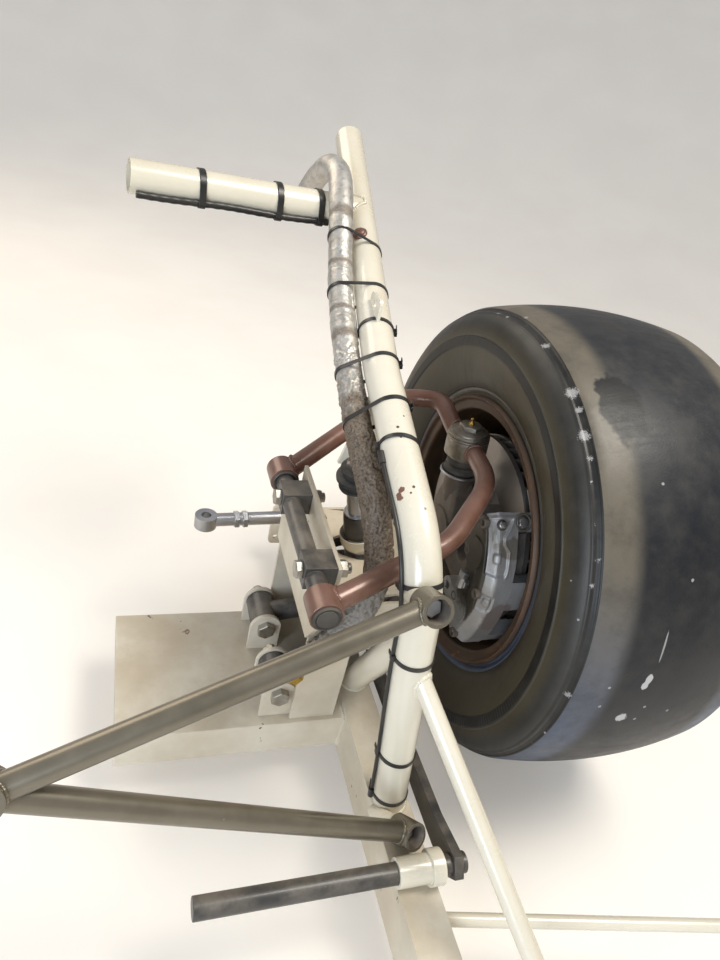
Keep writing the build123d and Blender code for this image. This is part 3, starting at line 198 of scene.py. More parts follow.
def sine_noise(points: Array, size: float, seed: int, octaves: int = 3) -> Array:
    """Give smooth noise from about -1 to 1.

    Each octave is the mean of sines along random directions, twice as fine and half as high as the
    octave before it.

    Args:
        points: places, in metres, on the last axis.
        size: how long the slowest waves are.
        seed: fixes the directions and phases.
        octaves: how many octaves are added.

    Returns:
        One value for each place.
    """
    chance = np.random.default_rng(seed)
    total = np.zeros(points.shape[:-1])
    for octave in range(octaves):
        directions = unit(chance.normal(size=(6, 3))) * FULL_TURN / size * 2 ** octave
        phases = chance.uniform(0, FULL_TURN, 6)
        total += np.sin(points @ directions.T + phases).mean(axis=-1) * 1.7 / 2 ** octave
    return total


def section_axes(path: Array) -> tuple[Array, Array]:
    """Give two unit vectors square to a path at each of its points.

    The first is the fixed row axis that the path follows least, crossed with the tangent, and the
    second is the tangent crossed with the first.

    Args:
        path: rows of places.

    Returns:
        The first and the second vectors, a row for each place.
    """
    tangents = unit(np.gradient(path, axis=0))
    least = np.eye(3)[np.argmin(np.abs(tangents).max(axis=0))]
    first = unit(np.cross(least, tangents))
    return first, np.cross(tangents, first)


def cross_axes(axis: Array) -> tuple[Array, Array]:
    """Give two unit vectors square to an axis and to each other."""
    first = unit(np.cross(np.eye(3)[np.argmin(np.abs(axis))], axis))
    return first, np.cross(axis, first)


def ring(radius: float | Array, count: int = 48) -> Array:
    """Give the closed outline radius * (cos t, sin t), one row of a point for each angle t."""
    angles = np.arange(count) * FULL_TURN / count
    return np.stack([np.cos(angles), np.sin(angles)], axis=-1) * np.asarray(radius)[..., None]


def spread(first: Array, second: Array, flat: Array) -> Array:
    """Spread flat (x, y) points over two axes: first * x + second * y."""
    return first * flat[..., :1] + second * flat[..., 1:]


def way_at(first: Array, second: Array, degrees: float) -> Array:
    """Give the direction at an angle from the first axis towards the second."""
    turn = math.radians(degrees)
    return first * math.cos(turn) + second * math.sin(turn)


def arc_through(start: Sequence[float], middle: Sequence[float], end: Sequence[float], count: int) -> Array:
    """Give points on the circle through three places of a plane.

    The centre solves the two linear equations that make it as far from the first place as from the
    others, and the points are at even angles about it.

    Args:
        start: the first place.
        middle: a place on the way.
        end: the last place.
        count: how many points there are.

    Returns:
        Rows of places from the first to the last.
    """
    first, second, third = (np.array(p, float) for p in (start, middle, end))
    sides = 2 * np.array([second - first, third - first])
    squares = np.array([second @ second - first @ first, third @ third - first @ first])
    centre = np.linalg.solve(sides, squares)
    turns = np.unwrap([math.atan2(*(p - centre)[::-1]) for p in (first, second, third)])
    angles = np.linspace(turns[0], turns[2], count)
    return centre + np.linalg.norm(first - centre) * np.stack([np.cos(angles), np.sin(angles)], axis=1)


@dataclass
class Surface:
    """Points and four-sided faces, with a (u, v) pair for each point in metres along the surface."""

    points: Array
    quads: Array
    uv: Array

    @classmethod
    def from_grid(cls, grid: Array, wrap_u: bool = False, wrap_v: bool = False) -> Surface:
        """Join the neighbours of a grid of points into faces.

        Args:
            grid: points of shape (rows, columns, 3), a function of two parameters.
            wrap_u: joins the last row to the first.
            wrap_v: joins the last column to the first.

        Returns:
            The surface, whose u runs along the columns and v along the rows.
        """
        rows, columns = grid.shape[:2]
        index = np.arange(rows * columns).reshape(rows, columns)
        index = np.concatenate([index, index[:1]]) if wrap_u else index
        index = np.concatenate([index, index[:, :1]], axis=1) if wrap_v else index
        quads = np.stack([index[:-1, :-1], index[:-1, 1:], index[1:, 1:], index[1:, :-1]], axis=-1)
        along_v = np.cumsum(np.r_[0, np.linalg.norm(np.diff(grid, axis=0), axis=2).mean(axis=1)])
        along_u = np.cumsum(np.r_[0, np.linalg.norm(np.diff(grid, axis=1), axis=2).mean(axis=0)])
        uv = np.stack(np.meshgrid(along_u, along_v), axis=-1)
        return cls(grid.reshape(-1, 3), quads.reshape(-1, 4), uv.reshape(-1, 2))
    @classmethod
    def capped(cls, grid: Array, start: Array, end: Array) -> Surface:
        """Close a row of rings with a point before the first ring and one after the last."""
        before, after = (np.broadcast_to(point, grid[:1].shape) for point in (start, end))
        return cls.from_grid(np.concatenate([before, grid, after]), wrap_v=True)

    def __add__(self, other: Surface) -> Surface:
        """Keep both surfaces as one, side by side."""
        return Surface(np.concatenate([self.points, other.points]),
                       np.concatenate([self.quads, other.quads + len(self.points)]),
                       np.concatenate([self.uv, other.uv]))


def joined(surfaces: Iterable[Surface]) -> Surface:
    """Keep several surfaces as one."""
    return reduce(Surface.__add__, surfaces)


def carried(path: Array, outline: Array) -> Surface:
    """Carry a closed outline along a path: path + first axis * x + second axis * y.

    Args:
        path: (stations, 3) places.
        outline: (points, 2), or (stations, points, 2) where it changes on the way, in metres.

    Returns:
        The carried surface, closed at both ends.
    """
    first, second = section_axes(path)
    grid = path[:, None] + spread(first[:, None], second[:, None], outline)
    return Surface.capped(grid, path[0], path[-1])


def open_tube(path: Array, outer: float, wall: float, count: int = 64) -> Surface:
    """Carry a round tube along a path, with its bore and its two ring-shaped ends.

    Args:
        path: (stations, 3) places.
        outer: outside diameter.
        wall: thickness.
        count: points round the tube.

    Returns:
        The tube, as path + spoke * radius for the outside and, back again, for the bore.
    """
    first, second = section_axes(path)
    spokes = spread(first[:, None], second[:, None], ring(1.0, count))
    outside, inside = (path[:, None] + spokes * radius for radius in (outer / 2, outer / 2 - wall))
    return Surface.from_grid(np.concatenate([outside, inside[::-1]]), wrap_u=True, wrap_v=True)


def turned(profile: Array, origin: Array, axis: Array, count: int = 96, closed: bool = False) -> Surface:
    """Turn a profile about an axis: origin + axis * along + radius * (first cos t + second sin t).

    Args:
        profile: rows of (radius, distance along the axis), in metres.
        origin: where the distance along the axis is zero.
        axis: a unit vector.
        count: how many steps the turn has.
        closed: joins the profile's last row to its first.

    Returns:
        The turned surface.
    """
    spokes = spread(*cross_axes(axis), ring(1.0, count))
    grid = origin + axis * profile[:, None, 1:] + spokes * profile[:, None, :1]
    return Surface.from_grid(grid, wrap_u=closed, wrap_v=True)


def lathe(rows: Sequence[Sequence[float]], origin: Array, axis: Array, count: int = 80,
          closed: bool = False) -> Surface:
    """Turn a profile whose rows of (radius, distance) are in millimetres."""
    return turned(np.array(rows) * MILLIMETRE, origin, axis, count, closed)


def hex_head(origin: Array, axis: Array, flats: float, height: float, dome: float = 0.0) -> Surface:
    """Make a hexagon head with a chamfered rim and a shallow washer face.

    The outline's radius is flats / 2 / cos(angle from the middle of the flat), cut at each level by a
    cone that leaves a circle at the top.

    Args:
        origin: centre of the face that it stands on.
        axis: the way that it rises.
        flats: width across the flats.
        height: how far it rises.
        dome: how far the middle of the top stands above its rim.

    Returns:
        The head, closed at both ends.
    """
    count = 72
    angles = np.arange(count) * FULL_TURN / count
    hexagon = flats / 2 / np.cos(angles % (math.pi / 3) - math.pi / 6)
    cone = np.array([0.0, 0.96, 1.16, 1.16, 1.06, 0.97, 0.6, 0.0]) * flats / 2
    radius = np.minimum(hexagon, cone[:, None])[..., None]
    levels = height * np.array([0, 0, 0.03, 0.84, 0.92, 1, 1, 1])
    levels[-2:] += dome * np.array([0.8, 1])
    grid = origin + axis * levels[:, None, None] + radius * spread(*cross_axes(axis), ring(1.0, count))
    return Surface.from_grid(grid, wrap_v=True)


def loop_tangents(loop: Array) -> Array:
    """Give the unit tangents of a closed line, each along its two neighbours' difference."""
    return unit(np.roll(loop, -1, axis=0) - np.roll(loop, 1, axis=0))


def bead_outline(count: int, radius: float, seed: float) -> Array:
    """Give a weld's outline at each of its stations, a fifth of the pitch apart.

    Its size is |sin| of the distance over the pitch, times two slow sines.

    Args:
        count: how many stations there are.
        radius: the bead's radius.
        seed: shifts the slow sines.

    Returns:
        (stations, points, 2) places of the outline.
    """
    distance = np.arange(count) * BEAD_PITCH / 5
    ripple = 0.86 + 0.2 * np.abs(np.sin(math.pi * distance / BEAD_PITCH))
    slow = 1 + 0.09 * np.sin(distance * 210 + seed) + 0.06 * np.sin(distance * 530 + 2 * seed)
    return ring(radius, 10) * (ripple * slow)[:, None, None]


def weld_bead(line: Array, radius: float, seed: float = 0.0) -> Surface:
    """Lay a rippled bead along a closed line.

    Args:
        line: rows of places round the joint.
        radius: the bead's radius.
        seed: makes this bead unlike the others.

    Returns:
        The bead, as line + its outline on two axes square to the line.
    """
    line = resample_loop(line, BEAD_PITCH / 5)
    tangents = loop_tangents(line)
    first = unit(np.cross(tangents, unit(line - line.mean(axis=0))))
    second = np.cross(tangents, first)
    grid = line[:, None] + spread(first[:, None], second[:, None], bead_outline(len(line), radius, seed))
    return Surface.from_grid(grid, wrap_u=True, wrap_v=True)


def weld_run(start: Array, end: Array, radius: float, seed: float = 0.0) -> Surface:
    """Lay a rippled bead along a straight line, closed at its two ends."""
    line = resample(np.array([start, end]), BEAD_PITCH / 5)
    return carried(line, bead_outline(len(line), radius, seed))


@dataclass
class Rod:
    """A straight round tube: a place on its centre line, its direction and its radius."""

    start: Array
    axis: Array
    radius: float

    @classmethod
    def between(cls, start: Array, end: Array, outer: float) -> Rod:
        """Run a tube from one place to another."""
        return cls(start, unit(end - start), outer / 2)

    def rim(self, count: int) -> Array:
        """Give rows of places on its outline, square to its axis at its start."""
        return self.start + spread(*cross_axes(self.axis), ring(self.radius, count))

    def on_plane(self, level: Array, normal: Array) -> Array:
        """Find where it meets a plane: rim + axis * ((level - rim) . normal) / (axis . normal)."""
        rim = self.rim(96)
        return rim + self.axis * (((level - rim) @ normal) / (self.axis @ normal))[:, None]

    def on_tube(self, other: Rod) -> Array:
        """Find where it meets the near side of another tube.

        For each place on its rim the distance d along its axis solves the quadratic
        |other axis x (place + axis d - other start)| = other radius, and the smaller root is the near side.

        Args:
            other: the other tube.

        Returns:
            Rows of places on the line where they meet.
        """
        rim = self.rim(120)
        along, offset = np.cross(self.axis, other.axis), np.cross(rim - other.start, other.axis)
        a, b, c = along @ along, 2 * offset @ along, (offset ** 2).sum(axis=1) - other.radius ** 2
        root = np.sqrt(np.maximum(b * b - 4 * a * c, 0))
        return rim + self.axis * ((-b - root) / (2 * a))[:, None]


def strap(loop: Array, normal: Array, width: float, thickness: float) -> Surface:
    """Lay a flat band with eased edges round a closed line in a plane.

    A point is loop + normal * across + outward * up, with (across, up) on an eased rectangle.

    Args:
        loop: rows of places round the line.
        normal: the plane's normal.
        width: the band's width, along the normal.
        thickness: how far it stands up.

    Returns:
        The band.
    """
    outward = np.cross(loop_tangents(loop), normal)
    outward *= np.sign(((loop - loop.mean(axis=0)) * outward).sum())
    half = width / 2
    corners = np.array([[-half, 0.0], [half, 0.0], [half, thickness], [-half, thickness]])
    outline = eased_outline(corners, thickness * 0.35, thickness * 0.3)
    grid = loop[:, None] + spread(normal, outward[:, None], outline)
    return Surface.from_grid(grid, wrap_u=True, wrap_v=True)


def hull_loop(origin: Array, first: Array, second: Array, radius: float, spot: Array,
              spot_radius: float) -> Array:
    """Draw the tight line round two circles of a plane.

    In each direction n it holds radius * n or spot + spot_radius * n, whichever reaches further.

    Args:
        origin: centre of the first circle.
        first: the plane's first axis.
        second: the plane's second axis.
        radius: the first circle's radius.
        spot: centre of the second circle, on the two axes.
        spot_radius: the second circle's radius.

    Returns:
        Rows of places round the line.
    """
    ways = ring(1.0, 240)
    further = (ways @ spot + spot_radius > radius)[:, None]
    flat = np.where(further, spot + spot_radius * ways, radius * ways)
    return origin + spread(first, second, resample_loop(flat, 0.0016))


def rounded_box(centre: Array, axes: Array, size: Sequence[float], edge: float) -> Surface:
    """Make a box with rounded edges: each corner's place plus that corner's eighth of a small sphere.

    Args:
        centre: the box's middle.
        axes: three rows of unit vectors.
        size: its length along each axis.
        edge: radius of the rounding.

    Returns:
        The box, closed.
    """
    quarter = np.linspace(0, math.pi / 2, 4)
    around = (np.arange(4)[:, None] * math.pi / 2 + quarter).ravel()
    down = np.r_[quarter, math.pi / 2 + quarter][:, None]
    sphere = [np.sin(down) * np.cos(around), np.sin(down) * np.sin(around), np.cos(down) * np.ones(16)]
    sides = [np.repeat([1, -1, -1, 1], 4) * np.ones((8, 1)), np.repeat([1, 1, -1, -1], 4) * np.ones((8, 1)),
             np.repeat([1, -1], 4)[:, None] * np.ones(16)]
    grid = np.stack(sides, axis=-1) * (np.array(size) / 2 - edge) + edge * np.stack(sphere, axis=-1)
    top = np.array([0, 0, size[2] / 2]) @ axes
    return Surface.capped(centre + grid @ axes, centre + top, centre - top)


def at_distance(path: Array, distance: float) -> tuple[Array, Array, Array, Array]:
    """Find a path's point at a distance along it.

    Args:
        path: rows of places.
        distance: how far along the wanted point is.

    Returns:
        The point, the tangent there, and the two section axes there.
    """
    index = int(np.argmin(np.abs(travelled(path) - distance)))
    first, second = section_axes(path)
    return path[index], unit(np.gradient(path, axis=0))[index], first[index], second[index]


class Graph:
    """A node tree that is built up as expressions."""

    def __init__(self, tree: bpy.types.NodeTree) -> None:
        """Start with an empty tree."""
        self.tree = tree
        tree.nodes.clear()

    def put(self, socket: Socket, value: Value) -> None:
        """Link a value to a socket, or set it there."""
        if isinstance(value, Socket):
            self.tree.links.new(value, socket)
        else:
            socket.default_value = value

    def use(self, kind: str, inputs: dict | None = None, out: int | str = 0, **settings) -> Socket:
        """Add a node.

        Args:
            kind: the node's type without its ShaderNode prefix.
            inputs: socket names or numbers, each with a value or an output socket to link.
            out: the output to hand back.
            settings: properties of the node.

        Returns:
            The wanted output socket.
        """
        made = self.tree.nodes.new("ShaderNode" + kind)
        for key, value in settings.items():
            setattr(made, key, value)
        for key, value in (inputs or {}).items():
            self.put(made.inputs[key], value)
        return made.outputs[out]

    def calc(self, operation: str, first: Value, second: Value = 0.0, clamp: bool = False) -> Socket:
        """Work out one arithmetic step."""
        return self.use("Math", {0: first, 1: second}, operation=operation, use_clamp=clamp)

    def times(self, first: Value, second: Value, clamp: bool = False) -> Socket:
        """Multiply two values."""
        return self.calc("MULTIPLY", first, second, clamp)

    def plus(self, first: Value, second: Value, clamp: bool = False) -> Socket:
        """Add two values."""
        return self.calc("ADD", first, second, clamp)

    def rest(self, value: Value) -> Socket:
        """Give what is left of one after a value."""
        return self.calc("SUBTRACT", 1.0, value)

    def band(self, value: Value, low: float, high: float) -> Socket:
        """Rise smoothly from 0 to 1 between two values."""
        return self.use("MapRange", {"Value": value, "From Min": low, "From Max": high},
                        interpolation_type="SMOOTHSTEP")

    def mix(self, share: Value, first: Value, second: Value) -> Socket:
        """Mix two colours by a share."""
        return self.use("Mix", {0: share, 6: first, 7: second}, out=2, data_type="RGBA")

    def noise(self, vector: Socket, scale: Value, detail: float = 4.0, rough: float = 0.55,
              warp: float = 0.0) -> Socket:
        """Give smooth noise from 0 to 1."""
        return self.use("TexNoise", {"Vector": vector, "Scale": scale, "Detail": detail, "Roughness": rough,
                                     "Distortion": warp})

    def group(self, effect: Effect, **inputs) -> Socket:
        """Place a shared effect, with its inputs named by keywords whose underscores are spaces."""
        made = self.tree.nodes.new("ShaderNodeGroup")
        made.node_tree = effect.tree()
        for key, value in inputs.items():
            self.put(made.inputs[key.replace("_", " ").title()], value)
        return made.outputs[0]

    def shade(self, inputs: dict) -> None:
        """End a material in one Principled shader."""
        surface = self.use("BsdfPrincipled", inputs)
        output = self.tree.nodes.new("ShaderNodeOutputMaterial")
        self.tree.links.new(surface, output.inputs["Surface"])


def edge_wear(graph: Graph, source: bpy.types.bpy_prop_collection) -> Socket:
    """Mark edges, where a rounded normal leaves the true one, broken up by noise."""
    rounded = graph.use("Bevel", {"Radius": source["Width"]}, samples=4)
    true = graph.use("NewGeometry", out="Normal")
    agree = graph.use("VectorMath", {0: rounded, 1: true}, out="Value", operation="DOT_PRODUCT")
    edge = graph.times(graph.rest(agree), 9.0, clamp=True)
    broken = graph.noise(source["Vector"], 140.0, 5.0)
    mask = graph.plus(graph.times(edge, source["Amount"]), graph.calc("SUBTRACT", broken, 1.0))
    return graph.band(mask, 0.02, 0.25)


def paint_chips(graph: Graph, source: bpy.types.bpy_prop_collection) -> Socket:
    """Mark small ragged spots, more of them where a slow noise is high."""
    fine = graph.noise(source["Vector"], source["Scale"], 3.0, 0.6, 0.6)
    slow = graph.noise(source["Vector"], graph.times(source["Scale"], 0.17), 2.0)
    both = graph.plus(fine, graph.times(slow, 0.35))
    limit = graph.calc("SUBTRACT", 1.02, graph.times(source["Amount"], 0.4))
    over = graph.calc("SUBTRACT", both, limit)
    return graph.band(over, 0.0, 0.015)


def settled_dust(graph: Graph, source: bpy.types.bpy_prop_collection) -> Socket:
    """Mark faces that look up, patchily."""
    normal = graph.use("NewGeometry", out="Normal")
    lift = graph.use("SeparateXYZ", {0: normal}, out="Z")
    upward = graph.band(lift, -0.2, 0.9)
    patchy = graph.band(graph.noise(source["Vector"], source["Scale"], 6.0, 0.65), 0.3, 0.75)
    some = graph.times(graph.plus(graph.times(upward, 0.7), 0.3), patchy)
    return graph.times(some, source["Amount"], clamp=True)


def surface_grain(graph: Graph, source: bpy.types.bpy_prop_collection) -> Socket:
    """Give a height with fine grain and slower lumps."""
    fine = graph.noise(source["Vector"], source["Scale"], 4.0, 0.6)
    lumps = graph.noise(source["Vector"], graph.times(source["Scale"], 0.12), 3.0)
    return graph.plus(graph.times(fine, graph.rest(source["Lumps"])), graph.times(lumps, source["Lumps"]))


def fine_streaks(graph: Graph, source: bpy.types.bpy_prop_collection) -> Socket:
    """Mark long thin lines: noise on a vector squeezed along X and Z."""
    squeezed = graph.use("VectorMath", {0: source["Vector"], 1: (0.06, 1.0, 0.06)}, operation="MULTIPLY")
    lines = graph.noise(squeezed, source["Scale"], 3.0, 0.7)
    return graph.times(graph.band(lines, 0.45, 0.75), source["Amount"])


def ragged_spot(graph: Graph, source: bpy.types.bpy_prop_collection) -> Socket:
    """Mark one spot: the distance from its centre, over its size, pushed in and out by noise."""
    away = graph.use("VectorMath", {0: source["Vector"], 1: source["Centre"]}, operation="SUBTRACT")
    share = graph.use("VectorMath", {0: away, 1: source["Size"]}, operation="DIVIDE")
    distance = graph.use("VectorMath", {0: share}, out="Value", operation="LENGTH")
    push = graph.calc("SUBTRACT", graph.noise(source["Vector"], source["Fineness"], 3.0, 0.7), 0.5)
    edge = graph.plus(distance, graph.times(push, source["Rag"]))
    return graph.rest(graph.band(edge, 0.8, 1.0))


class Effect(Enum):
    """The effects that several finishes share: a node group's name, its builder and its inputs."""

    EDGE_WEAR = ("edge wear", edge_wear, {"Width": 0.0012, "Amount": 0.5})
    CHIPS = ("paint chips", paint_chips, {"Scale": 60.0, "Amount": 0.1})
    DUST = ("settled dust", settled_dust, {"Amount": 0.5, "Scale": 25.0})
    GRAIN = ("surface grain", surface_grain, {"Scale": 300.0, "Lumps": 0.3})
    STREAKS = ("fine streaks", fine_streaks, {"Scale": 400.0, "Amount": 0.5})
    SPOT = ("ragged spot", ragged_spot,
            {"Centre": (0.0, 0.0, 0.0), "Size": (0.01, 0.01, 0.01), "Rag": 0.5, "Fineness": 300.0})

    def tree(self) -> bpy.types.NodeTree:
        """Build the group once, and hand it back after that.

        Returns:
            A tree that takes Vector and the effect's own values, and puts out one value from 0 to 1.
        """
        name, builder, inputs = self.value
        if name in bpy.data.node_groups:
            return bpy.data.node_groups[name]
        tree = bpy.data.node_groups.new(name, "ShaderNodeTree")
        graph = Graph(tree)
        tree.interface.new_socket("Vector", in_out="INPUT", socket_type="NodeSocketVector")
        for key, value in inputs.items():
            kind = "NodeSocketVector" if isinstance(value, tuple) else "NodeSocketFloat"
            tree.interface.new_socket(key, in_out="INPUT", socket_type=kind).default_value = value
        tree.interface.new_socket("Result", in_out="OUTPUT", socket_type="NodeSocketFloat")
        result = builder(graph, tree.nodes.new("NodeGroupInput").outputs)
        tree.links.new(result, tree.nodes.new("NodeGroupOutput").inputs["Result"])
        return tree


def rgba(color: Color) -> tuple[float, float, float, float]:
    """Add the alpha that a colour socket wants."""
    return (*color, 1.0)


def new_material(name: str) -> tuple[bpy.types.Material, Graph]:
    """Start a material, and give it with its empty graph."""
    material = bpy.data.materials.new(name)
    material.use_nodes = True
    return material, Graph(material.node_tree)


@dataclass(frozen=True)
class Finish:
    """A finish that every piece of one slot may share.

    The base colour wanders between color and shade. Chips and worn edges bare the color under it,
    dust settles on top, and the grain stands up as bump.
    """

    name: str
    color: Color
    shade: Color
    under: Color = (0.2, 0.1, 0.06)
    dust: Color = (0.42, 0.36, 0.28)
    roughness: float = 0.4
    metallic: float = 0.0
    coat: float = 0.0
    mottle_scale: float = 14.0
    chips: float = 0.0
    chip_scale: float = 55.0
    wear: float = 0.0
    wear_width: float = 0.0012
    dust_amount: float = 0.2
    dust_scale: float = 22.0
    grain_scale: float = 500.0
    grain_lumps: float = 0.3
    bump: float = 0.06
    bump_depth: float = 0.001
    streaks: float = 0.0
    worn_metallic: float = 0.6

    def build(self) -> bpy.types.Material:
        """Make the material, or hand back the one made before."""
        if self.name in bpy.data.materials:
            return bpy.data.materials[self.name]
        material, graph = new_material(self.name)
        vector = graph.use("TexCoord", out="Object")
        color, bare, height = self.layers(graph, vector)
        dusty = graph.group(Effect.DUST, vector=vector, amount=self.dust_amount, scale=self.dust_scale)
        color = graph.mix(dusty, color, rgba(self.dust))
        rough = graph.plus(self.roughness, graph.times(dusty, 0.35), clamp=True)
        metallic = graph.times(graph.rest(dusty), self.metallic)
        if bare:
            rough = graph.plus(rough, graph.times(bare, 0.15), clamp=True)
            change = graph.times(bare, self.worn_metallic - self.metallic)
            metallic = graph.plus(metallic, change, clamp=True)
        normal = graph.use("Bump", {"Strength": self.bump, "Distance": self.bump_depth, "Height": height})
        shader = {"Base Color": color, "Roughness": rough, "Metallic": metallic, "Normal": normal}
        if self.coat:
            shader["Coat Weight"] = graph.times(graph.rest(dusty), self.coat)
            shader["Coat Roughness"] = 0.12
        graph.shade(shader)
        material.diffuse_color = rgba(self.color)
        return material

    def layers(self, graph: Graph, vector: Socket) -> tuple:
        """Lay the base colour, the bared spots and the height.

        Returns:
            Sockets for the colour, the share that is bare, and the height.
        """
        mottle = graph.band(graph.noise(vector, self.mottle_scale, 5.0), 0.3, 0.7)
        color = graph.mix(mottle, rgba(self.color), rgba(self.shade))
        height = graph.group(Effect.GRAIN, vector=vector, scale=self.grain_scale, lumps=self.grain_lumps)
        bare = None
        if self.chips:
            bare = graph.group(Effect.CHIPS, vector=vector, scale=self.chip_scale, amount=self.chips)
        if self.wear:
            worn = graph.group(Effect.EDGE_WEAR, vector=vector, width=self.wear_width, amount=self.wear)
            bare = graph.calc("MAXIMUM", bare, worn) if bare else worn
        if self.streaks:
            lines = graph.group(Effect.STREAKS, vector=vector, scale=420.0, amount=self.streaks)
            color = graph.mix(lines, color, rgba(self.shade))
        if bare:
            color = graph.mix(bare, color, rgba(self.under))
            height = graph.calc("SUBTRACT", height, graph.times(bare, 0.5))
        return color, bare, height


@dataclass(frozen=True)
class Mark:
    """One ragged spot on a surface, its place in millimetres from the wheel's centre."""

    spot: tuple[float, float, float]
    size: tuple[float, float, float]
    color: Color
    rag: float = 0.6
    fineness: float = 300.0

    def lay(self, graph: Graph, vector: Socket, color: Value) -> Socket:
        """Colour the spot over a colour."""
        share = graph.group(Effect.SPOT, vector=vector, centre=tuple(place(*self.spot)), rag=self.rag,
                            size=tuple(MILLIMETRE * edge for edge in self.size), fineness=self.fineness)
        return graph.mix(share, color, rgba(self.color))


@dataclass(frozen=True)
class MarkedFinish(Finish):
    """A finish with single chips or stains at known places."""

    marks: tuple[Mark, ...] = ()

    def layers(self, graph: Graph, vector: Socket) -> tuple:
        """Lay the marks over the common layers."""
        color, bare, height = super().layers(graph, vector)
        for mark in self.marks:
            color = mark.lay(graph, vector, color)
        return color, bare, height


@dataclass(frozen=True)
class SleeveFinish(Finish):
    """Aluminised foil that turns to oily dirt further along the hose, with speckles and dark folds."""

    clean_to: float = 0.50
    dirty_from: float = 0.60
    stains: tuple = ((0.268, 0.012), (0.350, 0.006), (0.428, 0.006), (0.470, 0.012))
    grime: Color = (0.17, 0.125, 0.085)
    end_color: Color = (0.25, 0.235, 0.21)
    fold_color: Color = (0.24, 0.21, 0.17)
    speck_color: Color = (0.055, 0.042, 0.030)

    def layers(self, graph: Graph, vector: Socket) -> tuple:
        """Lay foil, stains, grime and the pale end by the distance along the hose."""
        color, _, height = super().layers(graph, vector)
        along = graph.use("SeparateXYZ", {0: graph.use("TexCoord", out="UV")}, out="Y")
        rough = graph.noise(vector, 45.0, 6.0, 0.7)
        uneven = graph.calc("SUBTRACT", rough, 0.5)
        wander = graph.plus(along, graph.times(uneven, 0.16))
        dirty = graph.band(wander, self.clean_to, self.dirty_from)
        for spot, width in self.stains:
            off = graph.calc("ABSOLUTE", graph.calc("SUBTRACT", along, spot))
            off = graph.plus(off, graph.times(uneven, width * 2.4))
            stain = graph.rest(graph.band(off, width * 0.2, width))
            dirty = graph.calc("MAXIMUM", dirty, graph.times(stain, 0.8))
        folds = graph.band(graph.noise(vector, 130.0, 5.0, 0.7), 0.50, 0.68)
        foil = graph.mix(graph.times(folds, 0.55), color, rgba(self.fold_color))
        specks = graph.band(graph.noise(vector, 420.0, 3.0, 0.6), 0.48, 0.62)
        oily = graph.mix(specks, rgba(self.grime), rgba(self.speck_color))
        pale = graph.times(graph.band(wander, 0.78, 0.84), 0.8)
        color = graph.mix(dirty, foil, graph.mix(pale, oily, rgba(self.end_color)))
        height = graph.plus(height, graph.times(graph.noise(vector, 260.0, 4.0, 0.65), 0.8))
        return color, dirty, height


class Slot(Enum):
    """The record's material slots."""

    FRAME_PAINT = "frame_paint"
    RAIL_PAINT = "rail_paint"
    BRACE_PAINT = "brace_paint"
    ARM_PAINT = "arm_paint"
    DARK_PAINT = "dark_paint"
    SPRING_PAINT = "spring_paint"
    BRIGHT_STEEL = "bright_steel"
    JOINT_STEEL = "joint_steel"
    BOLT_STEEL = "bolt_steel"
    CAST_STEEL = "cast_steel"
    CAST_ALUMINIUM = "cast_aluminium"
    TURNED_ALUMINIUM = "turned_aluminium"
    ROTOR_IRON = "rotor_iron"
    PAD_LINING = "pad_lining"
    WHEEL_PAINT = "wheel_paint"
    TYRE_RUBBER = "tyre_rubber"
    BOOT_RUBBER = "boot_rubber"
    HEAT_SLEEVE = "heat_sleeve"
    GOLD_ALUMINIUM = "gold_aluminium"
    TIE_PLASTIC = "tie_plastic"


FLAKE, SPECK, STAIN = (0.17, 0.065, 0.040), (0.05, 0.03, 0.02), (0.30, 0.21, 0.12)


def speck(x: float, y: float, z: float, size: float) -> Mark:
    """Give a small round dark spot."""
    return Mark((x, y, z), (size, size, size), SPECK)


TUBE_MARKS = (
    Mark((-360.0, -207.0, 206.5), (4.8, 6.4, 4.4), FLAKE, 1.5, 170.0),
    Mark((-357.6, -202.5, 212.0), (3.6, 4.0, 5.0), FLAKE, 1.3, 170.0),
    speck(-347.8, -130.8, 248.6, 2.0), speck(-347.1, -143.9, 243.4, 1.5),
    speck(-346.0, -205.3, 218.5, 1.9), speck(-350.4, -211.1, 214.7, 1.4),
    Mark((-339.4, -230.5, 208.2), (2.0, 2.0, 3.2), SPECK), speck(-363.1, -225.1, 187.9, 1.5),
    speck(-337.4, -116.5, 255.3, 1.2), Mark((-352.0, -301.0, 128.0), (9.0, 9.0, 17.0), STAIN, 0.5),
    Mark((-346.0, -300.0, 167.0), (16.0, 12.0, 9.0), (0.55, 0.46, 0.33), 0.5, 120.0),
)

CAST_MARKS = (
    Mark((-186, -138, 60), (6.0, 90.0, 110.0), (0.055, 0.050, 0.040), 0.3, 90.0),
    Mark((-150, -172, -18), (24.0, 20.0, 30.0), (0.32, 0.27, 0.255), 0.9, 60.0),
    Mark((-150, -150, 86), (24.0, 26.0, 16.0), (0.21, 0.19, 0.165), 0.9, 60.0),
)

